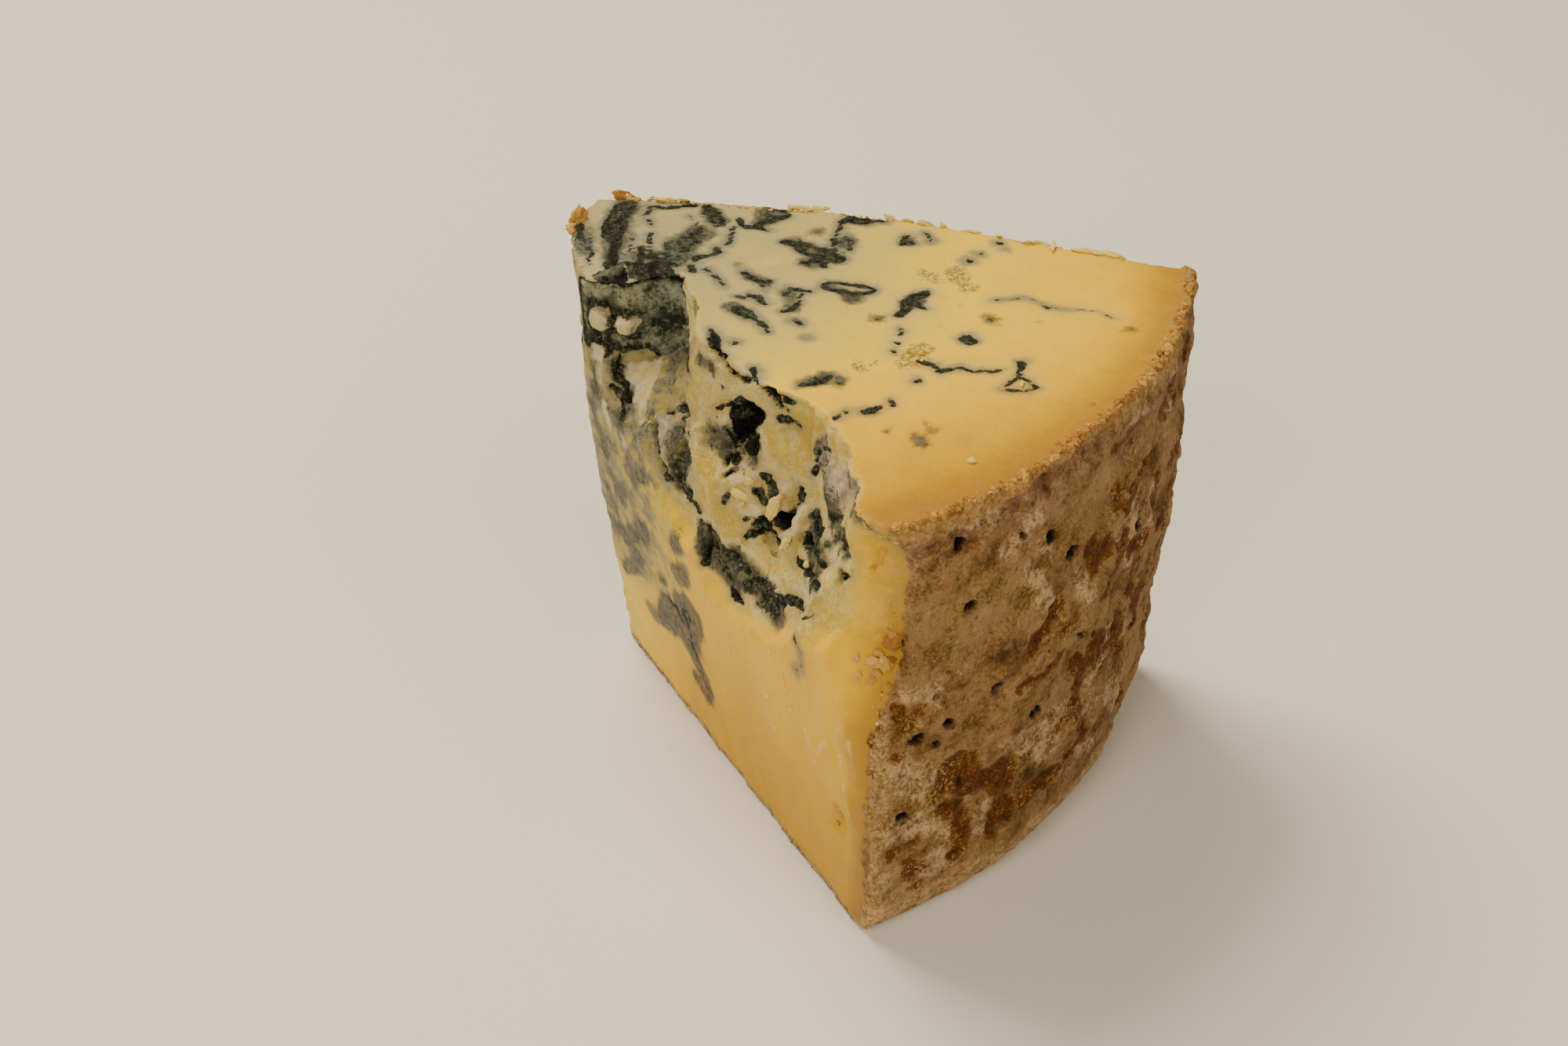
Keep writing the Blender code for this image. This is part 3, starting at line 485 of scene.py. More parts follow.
BACK_FROM_TOP = (
    (0.45, (23.4, 66.0), (23.9, 61.0), (22.8, 57.0), (23.6, 53.6)),
    (0.5, (32.2, 66.0), (32.0, 62.0), (33.4, 59.0), (33.0, 54.0), (34.6, 51.0)),
    (0.3, (56.6, 65.0), (57.2, 60.6), (56.6, 58.0)), (0.35, (14.0, 65.0), (13.2, 60.0), (14.4, 56.0)),
)
back_veins = [*BACK_FROM_TOP, *wandering_strokes(11, 120, 64.0, 6.0, 63.0, (0.16, 0.5))]
back_veins += wandering_strokes(12, 9, 46.0, 20.0, 60.0, (0.8, 1.4))
back_haze = wandering_strokes(13, 26, 50.0, 10.0, 62.0, (0.9, 2.4))
nose_veins = wandering_strokes(14, 34, 16.0, 4.0, 64.0, (0.2, 0.55))
nose_veins += wandering_strokes(15, 7, 16.0, 24.0, 64.0, (0.9, 1.6))
nose_haze = wandering_strokes(16, 18, 16.0, 6.0, 64.0, (1.0, 2.2))
far_rust = wandering_strokes(17, 26, 30.0, 10.0, 62.0, (0.6, 1.5))
far_bloom = wandering_strokes(18, 16, 30.0, 8.0, 62.0, (1.0, 2.0))
print(len(back_veins), "veins on the back cut and", len(nose_veins), "on the nose")

# %% [markdown]
# ## Which face does each point belong to?
# Every point of the skin gets its place about the wheel's axis, and the face it belongs to: the one that its
# normal looks out of. Inside the break, normals point anywhere, so there its place decides.

# %% Place the skin's points about the wheel's axis
count = len(wedge.data.vertices)
raw = np.zeros(count * 3)
wedge.data.vertices.foreach_get("co", raw)
points = raw.reshape(-1, 3) / MM - (*WHEEL_AXIS, 0.0)
raw = np.zeros(count * 3, np.float32)
wedge.data.vertex_normals.foreach_get("vector", raw)
normals = raw.reshape(-1, 3).astype(float)

round_wheel = np.arctan2(points[:, 1], points[:, 0])
out = points[:, :2] / np.linalg.norm(points[:, :2], axis=1)[:, None]
left_s, left_behind = along_cut(points, NOSE_LEFT, NEAR_ANGLE)
back_s, back_behind = along_cut(points, NOSE_BACK, FAR_ANGLE)


RIND_WAVE = 0.5
RIND_WAVE_SIZE = 13.0


def rind_wave(point):
    """The rind's slow unevenness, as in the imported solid."""
    over = Vector((*(Vector(point[:2]).normalized() * WHEEL_RADIUS), point[2]))
    return RIND_WAVE * noise.noise(over / RIND_WAVE_SIZE)


waves = np.array([rind_wave(point) for point in points])
rind_depth = rind_radius(points[:, 2]) + waves - np.linalg.norm(points[:, :2], axis=1)
print("placed", count, "points about the wheel's axis")

# %% Tell the faces apart by depth, height and the way that the normals look
TOP_SKIN = 2.2
RIND_SKIN = 0.9
BASE_SKIN = 0.05
BACK_MARGIN = 4.0
BREAK_FOOT = 28.0
WALL_LOOKS = {"left": (-0.40, -0.92), "back": (-0.39, 0.92), "nose": (-0.91, -0.40)}

on_top = (normals[:, 2] > 0.6) & (points[:, 2] > HEIGHT - TOP_SKIN)
on_base = points[:, 2] < BASE_SKIN
looks_outward = np.sum(normals[:, :2] * out, axis=1) > 0.55
on_rind = ~on_top & ~on_base & (rind_depth < RIND_SKIN) & looks_outward
clear_of_back = (left_behind < BREAK_DEPTH) & (back_behind < -BACK_MARGIN)
in_break = clear_of_back & (left_behind > 0.9) & (left_s > 0.8) & (left_s < BREAK_END)
in_break &= (points[:, 2] > BREAK_FOOT) & (points[:, 2] < HEIGHT - 0.6)
near_left = clear_of_back & (left_s > 1.5) & ~on_top
squareness = [normals[:, 0] * x + normals[:, 1] * y for x, y in WALL_LOOKS.values()]
nearest_wall = np.array(list(WALL_LOOKS))[np.argmax(squareness, axis=0)]
on_left = ~on_rind & ~on_base & (in_break | near_left | (~on_top & (nearest_wall == "left")))
on_top &= ~on_left
on_back = ~on_top & ~on_base & ~on_rind & ~on_left & (nearest_wall == "back")
on_nose = ~(on_top | on_base | on_rind | on_left | on_back)
faces = {"top": on_top, "left": on_left, "rind": on_rind, "back": on_back, "nose": on_nose}
for name, chosen in faces.items():
    print(name, "has", int(chosen.sum()), "of", count, "points")

# %% [markdown]
# ## From strokes to distances
# The strokes are straight between their points. Before a distance is measured, the place is nudged by slow
# noise, so that a straight stroke comes out as a wandering one.

# %% Measure the strokes on each face
FAR_OUTSIDE = -4.0
SLOW_SIZE, SLOW_REACH = 1.9, 0.38
QUICK_SIZE, QUICK_REACH = 0.7, 0.14


def nudged(places, seed):
    """Moves flat places a little, as a crack wanders."""
    moved = places.copy()
    for i, (u, v) in enumerate(places):
        slow = noise.noise_vector(Vector((u / SLOW_SIZE, v / SLOW_SIZE, seed)))
        quick = noise.noise_vector(Vector((u / QUICK_SIZE, v / QUICK_SIZE, seed + 9.0)))
        moved[i] += [SLOW_REACH * slow[axis] + QUICK_REACH * quick[axis] for axis in (0, 1)]
    return moved


def distance_inside(places, strokes):
    """How deep each place lies inside the nearest stroke, in millimetres. Outside it counts below zero."""
    deepest = np.full(len(places), FAR_OUTSIDE)
    for half, *knots in strokes:
        for start, end in zip(knots, knots[1:] or knots):
            start, run = np.array(start), np.array(end) - np.array(start)
            share = np.clip((places - start) @ run / max(run @ run, 0.000001), 0.0, 1.0)
            away = np.linalg.norm(places - start - share[:, None] * run, axis=1)
            deepest = np.maximum(deepest, half - away)
    return deepest


def domes(places, strokes):
    """Raised forms: each stroke has a height first, and a round back."""
    raised = np.zeros(len(places))
    for height, half, *knots in strokes:
        inside = distance_inside(places, [(half, *knots)]) / half
        away = 1.0 - np.clip(inside, 0.0, 1.0)
        raised = np.maximum(raised, height * np.sqrt(np.clip(1.0 - away * away, 0.0, 1.0)))
    return raised


NOSE_HALF = 9.0
flat_places = {
    "top": points[:, :2],
    "left": np.stack([left_s, points[:, 2]], axis=1),
    "rind": np.stack([round_wheel * WHEEL_RADIUS, points[:, 2]], axis=1),
    "back": np.stack([back_s, points[:, 2]], axis=1),
    "nose": np.stack([points[:, 1] + NOSE_HALF, points[:, 2]], axis=1),
}
wandered = {}
for seed, (face, places) in enumerate(flat_places.items()):
    wandered[face] = nudged(places[faces[face]], seed * 17.0)


def measured(strokes_by_face):
    """One number for each point of the skin, from the strokes of its own face."""
    result = np.full(count, FAR_OUTSIDE)
    for face, strokes in strokes_by_face.items():
        result[faces[face]] = distance_inside(wandered[face], strokes)
    return result


print("nudged the places on", len(wandered), "faces")

# %% One distance for each kind of stain
# The top's veins are widened a touch, and its haze is drawn in, so that the paste between them stays clear.
VEINS_MOVE = {"left": -0.02, "top": 0.05}
TOP_HAZE_MOVE = -0.35
mould = measured({"top": TOP_VEINS, "left": LEFT_VEINS, "back": back_veins, "nose": nose_veins})
for face, move in VEINS_MOVE.items():
    mould[faces[face]] += move
clean = measured({"left": LEFT_CLEAN})
mould = np.minimum(mould, -clean)
haze = measured({"top": TOP_HAZE, "left": LEFT_HAZE, "back": back_haze, "nose": nose_haze})
haze[on_top] += TOP_HAZE_MOVE
dust = measured({"left": LEFT_DUST})
gloom = measured({"left": LEFT_CRACK_SHADE, "top": TOP_GLOOM})
ochre = measured({"top": TOP_OCHRE, "left": LEFT_OCHRE})
pale_flecks = measured({"left": LEFT_FLECKS})
rust = measured({"rind": [*RUST, *far_rust]})
bloom = measured({"rind": [*BLOOM, *far_bloom]})
holes = measured({"rind": NEEDLE_HOLES})
# the mould is thickest on the break's inner walls, and thins to a veil on the paste by the nose
inner = on_left * soft_step(2.5, 7.0, left_behind) * soft_step(12.0, 9.0, left_s)
near_nose = soft_step(27.0, 12.0, left_s) * soft_step(12.0, 23.0, points[:, 2]) * (on_left + 0.6 * on_nose)
print("share of the skin inside a vein:", round(float((mould > 0.0).mean()), 3))

# %% [markdown]
# ## Sculpting
# A knife leaves cheese smooth, with faint drag marks, and a break leaves it crumbly: small flat facets, each
# at its own tilt, with steps between them. Voronoi cells have just that structure, so every cell here gets
# its own height and lean. Veins are shallow furrows, because the mould eats the paste away. The rind is
# granular and wrinkled all over. Each point moves along its own normal by the sum of what its place asks for.

# %% Helpers for rough surfaces
def rough(chosen, size, seed, octaves=3):
    """Soft fractal unevenness, about -1 to 1, whose largest lumps are size millimetres across."""
    shift = Vector((seed, seed * 0.7, -seed))
    return np.array([noise.fractal(Vector(p) / size + shift, 0.8, 2.1, octaves) for p in points[chosen]])


def crumbly(places, size, lean, step):
    """Facets of a fracture: flat cells of about one size, each with its own lean and height."""
    heights = []
    for point in places:
        place = Vector(point) / size
        distances, seeds = noise.voronoi(place)
        facets = []
        for seed in seeds[:2]:
            tilt = noise.noise_vector(seed * 5.3)
            facets.append((place - seed).dot(tilt) * size * lean + step * noise.noise(seed * 3.1))
        share = 0.5 + 0.5 * min(1.0, (distances[1] - distances[0]) / 0.09)
        heights.append(share * facets[0] + (1.0 - share) * facets[1])
    return np.array(heights)


def tell_moves(name, moves):
    print("the", name, "moves between", round(moves.min(), 2), "and", round(moves.max(), 2), "mm")


# %% [markdown]
# ### The left cut
# From its ledge up the cut is broken. A few large lumps, cracks and hollows are drawn as strokes like the
# veins, and the crumbs between them come from the facets. Below the ledge the knife's own face is left.

# %% Large forms of the break: (height or depth, half width, points as (distance from the nose, height))
LUMPS = (
    (1.2, 1.1, (2.6, 57.6), (2.8, 56.2)), (1.2, 0.75, (5.2, 57.2), (5.1, 56.2)),
    (1.5, 2.3, (8.6, 50.6), (11.6, 49.6)), (0.9, 0.8, (38.6, 51.4), (38.4, 49.2)),
    (0.7, 0.8, (41.9, 49.8), (42.0, 46.0)), (0.5, 1.7, (17.6, 48.4), (18.8, 46.6)),
    (0.7, 1.1, (59.6, 58.4), (60.0, 56.8)), (0.5, 2.3, (35.6, 57.2), (38.2, 55.8)),
    (0.6, 1.3, (22.8, 50.6), (23.6, 46.8)), (0.5, 1.6, (21.8, 56.8), (23.6, 55.2)),
    (0.5, 0.6, (61.0, 47.4)), (0.6, 0.7, (63.4, 44.6)), (0.5, 0.7, (60.6, 43.0)),
    (0.6, 1.3, (50.6, 41.6), (52.8, 42.6)), (0.5, 1.2, (60.2, 38.6), (61.2, 34.0), (60.4, 30.4)),
    (0.4, 0.8, (62.6, 33.0), (63.6, 27.6)), (0.35, 0.7, (61.2, 25.0), (62.0, 20.4)),
    (0.3, 2.4, (56.6, 33.0), (55.0, 26.0)),
)
CRACKS = (
    (2.6, 1.2, (31.4, 58.9), (33.0, 59.5)), (2.2, 1.2, (32.4, 57.2), (32.8, 54.4)),
    (1.3, 0.8, (24.2, 63.6), (25.8, 62.4)), (0.8, 0.45, (25.8, 62.4), (28.0, 61.8), (31.8, 63.0)),
    (1.0, 0.7, (34.2, 63.0), (36.6, 61.2)), (1.4, 0.8, (37.4, 47.3), (40.2, 47.9)),
    (0.9, 0.5, (5.1, 52.6), (5.6, 50.8), (6.9, 49.2), (8.5, 48.0)),
    (0.8, 0.5, (14.8, 47.6), (17.4, 45.1), (19.0, 42.8)), (0.7, 0.4, (61.6, 58.6), (60.4, 55.4)),
    (0.7, 0.7, (43.4, 47.4), (45.2, 47.8)), (0.6, 0.4, (54.8, 50.1), (54.2, 50.9), (55.3, 51.1)),
    (0.9, 0.7, (63.2, 46.2), (64.2, 47.3)), (0.5, 1.0, (57.8, 14.2), (58.6, 18.4)),
    (0.5, 0.35, (59.4, 14.6), (60.0, 18.2)), (0.6, 0.45, (16.8, 51.0), (19.6, 51.8)),
    (0.5, 0.4, (35.9, 59.5), (38.2, 59.3)), (0.6, 0.5, (50.2, 47.0), (45.0, 45.2)),
    (0.8, 0.7, (40.4, 51.6), (40.4, 49.0)), (0.6, 0.7, (27.7, 39.0), (27.9, 35.4)),
    (0.5, 0.6, (33.8, 34.0), (35.4, 34.4)),
)
print(len(LUMPS), "lumps and", len(CRACKS), "cracks")

# %% Where the left cut is broken, and its layers
# The foot of the break is the ledge's height, at seven distances from the nose.
LEDGE_PLACES = (2.0, 13.0, 25.0, 33.0, 42.0, 53.0, 64.0)
LEDGE_HEIGHTS = (46.5, 43.5, 36.0, 31.6, 34.0, 41.0, 49.5)
LAYERS_RUN = math.radians(-62.0)
LAYER_STRETCH = 2.3
places = wandered["left"]
foot = np.interp(places[:, 0], LEDGE_PLACES, LEDGE_HEIGHTS)
broken = soft_step(foot - 0.4, foot + 3.0, places[:, 1]) * soft_step(0.6, 3.0, places[:, 0])
broken *= 1.0 - 0.85 * soft_step(56.0, 60.5, places[:, 0])
softly_broken = np.zeros(count)
softly_broken[on_left] = broken
down, across = math.cos(LAYERS_RUN), math.sin(LAYERS_RUN)
along_layer = (left_s * down + points[:, 2] * across) / LAYER_STRETCH
across_layer = points[:, 2] * down - left_s * across
slabs = np.stack([along_layer, across_layer, left_behind], axis=1)[on_left]
print("points on the break:", int((broken > 0.5).sum()))

# %% Sculpt the left cut
moved = np.zeros(count)
furrow = soft_step(-0.2, 0.5, mould[on_left])
crumbled = np.maximum(soft_step(-1.3, 0.2, mould[on_left]), 0.8 * soft_step(-0.9, 0.9, haze[on_left]))
crumbled = np.maximum(crumbled, 0.7 * soft_step(-0.9, 0.9, dust[on_left]))
facets = crumbly(slabs, 4.6, 0.42, 0.85) + 0.8 * crumbly(slabs, 2.1, 0.42, 0.45)
facets += 0.5 * crumbly(slabs, 1.1, 0.40, 0.40) * soft_step(-0.3, 0.5, rough(on_left, 6.0, 4.0, 2))
facets *= 0.15 + 0.85 * soft_step(foot, foot + 7.0, places[:, 1])
crumbs = crumbly(points[on_left], 1.05, 0.6, 0.55)
grain = rough(on_left, 0.8, 3.0)
crumb_move = crumbled * (0.55 * crumbs + 0.12 * grain)
left_move = broken * (0.75 * facets + 0.05 * grain + crumb_move - 0.35 * furrow)
left_move += 0.7 * domes(places, LUMPS) - domes(places, CRACKS) - 0.9 * soft_step(-0.4, 0.8, gloom[on_left])
left_move += (1.0 - broken) * (0.26 * rough(on_left, 6.5, 8.0, 2) + 0.03 * grain - 0.12 * furrow)
left_move += 0.16 * soft_step(-0.2, 0.3, pale_flecks[on_left]) * (1.0 + 0.6 * grain)
dried_edge = soft_step(57.0, CUT_LENGTH, places[:, 0])
left_move += dried_edge * (0.30 * rough(on_left, 2.2, 9.0, 3) + 0.16 * crumbs)
moved[on_left] = left_move
tell_moves("left cut", left_move)

# %% [markdown]
# ### The top, the back and the nose
# The top was cut cleanly: shallow furrows along the veins, and a ragged rim where the knife dragged crumbs of
# rind over the edge. The back is a plainer cut with the same furrows, and the nose is rougher.

# %% Sculpt the top, the back and the nose
def carve(face, depth, roughness, size):
    """Presses furrows in along a face's veins, and makes it uneven."""
    chosen = faces[face]
    furrows = soft_step(-0.15, 0.35, mould[chosen])
    grain = rough(chosen, size, 21.0)
    moved[chosen] += -depth * furrows * (1.0 + 0.5 * rough(chosen, 0.9, 5.0)) + roughness * grain
    tell_moves(face, moved[chosen])


carve("top", 0.22, 0.05, 4.0)
carve("back", 0.35, 0.14, 3.0)
carve("nose", 0.4, 0.35, 2.4)
rim = on_top & (rind_depth < 3.0)
ragged = 1.9 + 1.0 * rough(rim, 5.0, 31.0)
rim_share = soft_step(ragged, ragged - 1.0, rind_depth[rim])
moved[rim] += rim_share * (0.42 + 0.45 * rough(rim, 2.6, 33.0) + 0.60 * crumbly(points[rim], 1.3, 0.5, 0.8))
print("the rim has", int(rim.sum()), "points")

# %% [markdown]
# ### The rind
# Fractal noise gives its slow lumps and finer cells its granules. The lowest few millimetres are smoother,
# where the wheel lay on its board. The needle holes are pushed in, each with a slightly raised lip.

# %% Sculpt the rind
granules = crumbly(points[on_rind], 1.5, 0.5, 0.55)
smooth_band = soft_step(9.0, 5.0, points[on_rind, 2] + 1.5 * rough(on_rind, 6.0, 2.0))
rind_move = 0.55 * rough(on_rind, 4.2, 12.0, 4) + 0.35 * rough(on_rind, 9.0, 13.0, 2)
rind_move -= 0.34 * soft_step(0.15, 0.75, rough(on_rind, 2.3, 14.0, 3)) * (1.0 - 0.7 * smooth_band)
rind_move += 0.42 * granules * (1.0 - 0.8 * smooth_band)
rind_move += 0.12 * soft_step(0.0, 0.8, bloom[on_rind]) - 0.22 * soft_step(-0.4, 0.6, rust[on_rind])
rind_move += 0.15 * soft_step(-0.9, -0.2, holes[on_rind]) - 1.5 * soft_step(-0.15, 0.5, holes[on_rind])
moved[on_rind] = rind_move * soft_step(0.4, 2.0, points[on_rind, 2])
tell_moves("rind", rind_move)

# %% Move every point along its normal, and keep the base flat
moved[on_base] = 0.0
moved *= soft_step(0.0, 0.5, points[:, 2])
sculpted = points + normals * moved[:, None]
sculpted[:, 2] = np.clip(sculpted[:, 2], 0.0, None)
final = (sculpted + (*WHEEL_AXIS, 0.0)) * MM
wedge.data.vertices.foreach_set("co", final.ravel())
wedge.data.update()
wedge.data.shade_smooth()
print("sculpted", int((moved != 0.0).sum()), "points")

# %% [markdown]
# ## Telling the material
# The distances are stored on the points as attributes, so that the material can read them. One more number
# says how dry the paste is: soft and creamy by the nose, and driest in the last millimetres before the rind.
# The cut sides dry more evenly than the top.

# %% How dry the paste is, from its depth under the rind
TOP_DEPTHS = (0, 1.5, 3, 5, 8, 12, 18, 24, 32, 40, 48, 56, 70)
TOP_DRYNESS = (1.0, 0.95, 0.90, 0.84, 0.72, 0.66, 0.60, 0.55, 0.46, 0.34, 0.22, 0.12, 0.0)
dryness = np.interp(rind_depth, (0.0, 1.5, 4.0, 40.0, 58.0), (0.96, 0.84, 0.68, 0.64, 0.38))
# the cut sides are also made darker and more amber towards the bottom
dryness += 0.20 * soft_step(34.0, 2.0, points[:, 2])
dryness[on_top] = np.interp(rind_depth[on_top], TOP_DEPTHS, TOP_DRYNESS)
nearer_side = soft_step(math.radians(8.0), math.radians(-25.0), round_wheel[on_top])
dryness[on_top] += 0.14 * nearer_side * soft_step(36.0, 22.0, rind_depth[on_top])
dryness[on_nose] = 0.14
print("dryness runs from", round(float(dryness.min()), 2), "to", round(float(dryness.max()), 2))

# %% Store the distances on the skin
FIELDS = {
    "mould": mould,
    "haze": haze,
    "dust": dust,
    "ochre": ochre,
    "rust": rust,
    "bloom": bloom,
    "holes": holes,
    "gloom": gloom,
    "pale": pale_flecks,
    "inner": inner,
    "near_nose": near_nose,
    "clean": clean,
    "cut_edge": on_rind * soft_step(2.6, 0.6, np.abs(left_behind)),
    "rind_depth": np.clip(rind_depth, -2.0, 80.0),
    "dryness": dryness,
    "broken": softly_broken,
    "on_rind": (on_rind | on_base).astype(float),
}
for name, values in FIELDS.items():
    stored = wedge.data.attributes.new(name, "FLOAT", "POINT")
    stored.data.foreach_set("value", values.astype(np.float32))
print("stored", ", ".join(FIELDS))

# %% [markdown]
# ## Writing materials as sums
# A material is a net of nodes. Most of its nodes are arithmetic, so a small class wraps one output socket and
# lets Python's + - and * add the Math nodes. Any other node comes from its node() method. A finish is then a
# base colour with others laid over it, each through a mask, so one function lays them all.

# %% A socket that can be calculated with
def feed(node, sockets):
    """Connects wires, or sets plain values, on a node's own input sockets."""
    for name, value in sockets.items():
        if isinstance(value, Wire):
            value.tree.links.new(value.socket, node.inputs[name])
        else:
            node.inputs[name].default_value = value


def full_colour(tint):
    """Gives red, green and blue the alpha that a colour socket wants. A wire stays as it is."""
    return tint if isinstance(tint, Wire) else (*tint, 1.0)


class Wire:
    """One output socket in a material. Arithmetic on wires adds Math nodes."""

    def __init__(self, tree, socket=None):
        self.tree = tree
        self.socket = socket

    def node(self, kind, settings, inputs, output=0):
        """Adds one node: its settings are set first, then the values or wires of its inputs."""
        made = self.tree.nodes.new(kind)
        for name, value in settings.items():
            if name == "stops":
                made.color_ramp.elements.remove(made.color_ramp.elements[1])
                for place, tint in value[1:]:
                    made.color_ramp.elements.new(place).color = full_colour(tint)
                made.color_ramp.elements[0].color = full_colour(value[0][1])
            else:
                setattr(made, name, value)
        feed(made, inputs)
        return Wire(self.tree, made.outputs[output])

    def math(self, operation, a, b=0.0):
        return self.node("ShaderNodeMath", {"operation": operation}, {0: a, 1: b})

    def __add__(self, other):
        return self.math("ADD", self, other)

    def __radd__(self, other):
        return self.math("ADD", other, self)

    def __sub__(self, other):
        return self.math("SUBTRACT", self, other)

    def __rsub__(self, other):
        return self.math("SUBTRACT", other, self)

    def __mul__(self, other):
        return self.math("MULTIPLY", self, other)

    def __rmul__(self, other):
        return self.math("MULTIPLY", other, self)

    def larger(self, other):
        return self.math("MAXIMUM", self, other)

    def attribute(self, name):
        return self.node("ShaderNodeAttribute", {"attribute_name": name}, {}, "Fac")

    def turned(self, *angles):
        """The same place, with its axes turned, so that a stretched pattern can run aslant."""
        return self.node("ShaderNodeMapping", {"vector_type": "POINT"}, {"Vector": self, "Rotation": angles})

    def noise(self, size, detail=3.0, roughness=0.55, stretch=(1.0, 1.0, 1.0)):
        """Fractal noise around 0, about -1 to 1, on a place in metres, with lumps size millimetres across."""
        scale = tuple(value / (size * MM) for value in stretch)
        place = self.node("ShaderNodeVectorMath", {"operation": "MULTIPLY"}, {0: self, 1: scale})
        inputs = {"Vector": place, "Scale": 1.0, "Detail": detail, "Roughness": roughness}
        return (self.node("ShaderNodeTexNoise", {}, inputs) - 0.5) * 4.0

    def step(self, low, high):
        """0 below low and 1 above high, with soft ends. Low may be the larger one."""
        if low > high:
            return 1.0 - self.step(high, low)
        inputs = {"Value": self, "From Min": low, "From Max": high}
        return self.node("ShaderNodeMapRange", {"interpolation_type": "SMOOTHSTEP"}, inputs)

    def ramp(self, *stops):
        """A colour for this number. Each stop is a place and the colour there, and the first place is 0."""
        return self.node("ShaderNodeValToRGB", {"stops": stops}, {"Fac": self})

    def blend(self, first, second):
        """Mixes two colours: first where this wire is 0, second where it is 1."""
        inputs = {0: self, 6: full_colour(first), 7: full_colour(second)}
        return self.node("ShaderNodeMix", {"data_type": "RGBA"}, inputs, 2)

    def tone(self, low, high, first, second):
        """Fades between two colours: first below low, second above high."""
        return self.step(low, high).blend(first, second)


def laid_over(base, *layers):
    """Lays colours over a base, one after the other. A layer is how much of it shows, and its colour."""
    for share, tint in layers:
        base = share.blend(base, tint)
    return base


def start_material(name):
    material = bpy.data.materials.new(name)
    material.use_nodes = True
    tree = material.node_tree
    return material, tree.nodes["Principled BSDF"], Wire(tree).node("ShaderNodeTexCoord", {}, {}, "Object")


print("the socket class is ready")

# %% [markdown]
# ## Paste, mould and rind in one material
# The paste is cream towards the nose, where mould has softened it, warm yellow further out, and amber in the
# last millimetres before the rind, where it has dried. Where it has broken open it is paler than under the
# knife. The mould is nearly black in its cracks and green-grey where it is thick, and it throws a cool haze
# into the paste around it. The deepest cracks and hollows of the break get painted shade, all but black.
# The rind is a dusty crust of beige, pink and olive with rusty patches, with painted shade in its hollows,
# pits and needle holes.

# %% The paste's colour
material, shader, place = start_material("blue_cheese")
mould_at = place.attribute("mould")
haze_at = place.attribute("haze")
depth = place.attribute("rind_depth")
dryness_at = place.attribute("dryness")
fresh = place.attribute("broken")
slow = place.noise(14.0, 2.0)
patchy = place.noise(4.5, 3.0)
middling = place.noise(2.1, 4.0, 0.6)
soft = place.noise(1.3, 2.0, 0.5)
fine = place.noise(1.0, 4.0, 0.65)
grains = place.noise(0.42, 3.0, 0.6)
drag = place.noise(2.6, 4.0, 0.6, (1.0, 1.0, 0.28))

dry = dryness_at.step(0.50, 0.78)
creamy = (middling * 0.6 + slow).step(0.0, 1.2) * (1.0 - dry * 0.8)
drawn = drag.step(0.3, 1.2) * dryness_at.step(0.35, 0.6)
pale_grains = (fine * 0.5 + grains * 0.7).step(0.2, 1.3)
browned = (depth + patchy * 1.6 + middling * 1.2).step(6.5, 0.8)
fresh_parts = patchy * 0.8 + middling * 0.5 + fine * 0.4 + grains * 0.3
paste = laid_over(
    (dryness_at + slow * 0.05 + patchy * 0.03).ramp(
        (0.0, (0.35, 0.31, 0.150)),
        (0.20, (0.42, 0.35, 0.120)),
        (0.38, (0.55, 0.425, 0.080)),
        (0.55, (0.79, 0.535, 0.012)),
        (0.70, (0.71, 0.415, 0.004)),
        (0.85, (0.54, 0.300, 0.003)),
        (1.0, (0.40, 0.195, 0.003)),
    ),
    (creamy * 0.35, (0.60, 0.49, 0.10)),
    (drawn * (0.35 - dry * 0.15), (0.66, 0.47, 0.09)),
    (drag.step(-0.35, -1.2) * 0.35, (0.42, 0.25, 0.015)),
    (pale_grains * 0.22, (0.80, 0.62, 0.22)),
    (browned * 0.62, (0.29, 0.155, 0.032)),
    (fresh * 0.92, fresh_parts.tone(-0.55, 0.65, (0.46, 0.335, 0.056), (0.66, 0.535, 0.175))),
)
print("paste nodes so far:", len(material.node_tree.nodes))

# %% How the mould stains the paste around it, and the blocks that it spares
halo = (mould_at + patchy * 0.5 + fine * 0.25).step(-2.4, 0.0)
cool = (mould_at + slow * 0.35 + fine * 0.25 + patchy * 0.3).step(-1.15, 0.05)
haze_mask = (haze_at + patchy * 0.8 + middling * 0.5 + fine * 0.4).step(-1.0, 0.45)
whitish = (haze_at + patchy * 0.9 + middling * 0.6 + fine * 0.3).step(-1.9, -1.0)
veiled = (middling * 0.9 + soft * 0.6 + patchy * 0.5 + fine * 0.4).step(0.05, 0.75) * fresh
veil_tone = (fine + grains * 0.8).tone(-0.6, 0.6, (0.150, 0.140, 0.105), (0.44, 0.40, 0.29))
mottled = (patchy * 0.9 + middling * 0.9 + soft * 0.4 + fine * 0.5 + grains * 0.3).step(-0.75, 0.65)
mottled_tone = fine + grains * 0.7 + middling * 0.7
mottled_tone = mottled_tone.tone(-0.65, 0.75, (0.027, 0.034, 0.028), (0.215, 0.203, 0.138))
clean_at = place.attribute("clean")
spared = (clean_at + fine * 0.3 + middling * 0.2).step(-0.25, 0.35)
spared_tone = (clean_at + patchy * 0.3).tone(0.15, 1.2, (0.52, 0.485, 0.345), (0.62, 0.500, 0.170))
spared_tone = (middling + fine * 0.7).tone(-0.3, 1.0, spared_tone, (0.66, 0.585, 0.330))
smudge = fine * 0.8 + grains * 0.5 + middling * 0.6
smudge = smudge.tone(-0.55, 0.70, (0.006, 0.010, 0.008), (0.098, 0.100, 0.072))
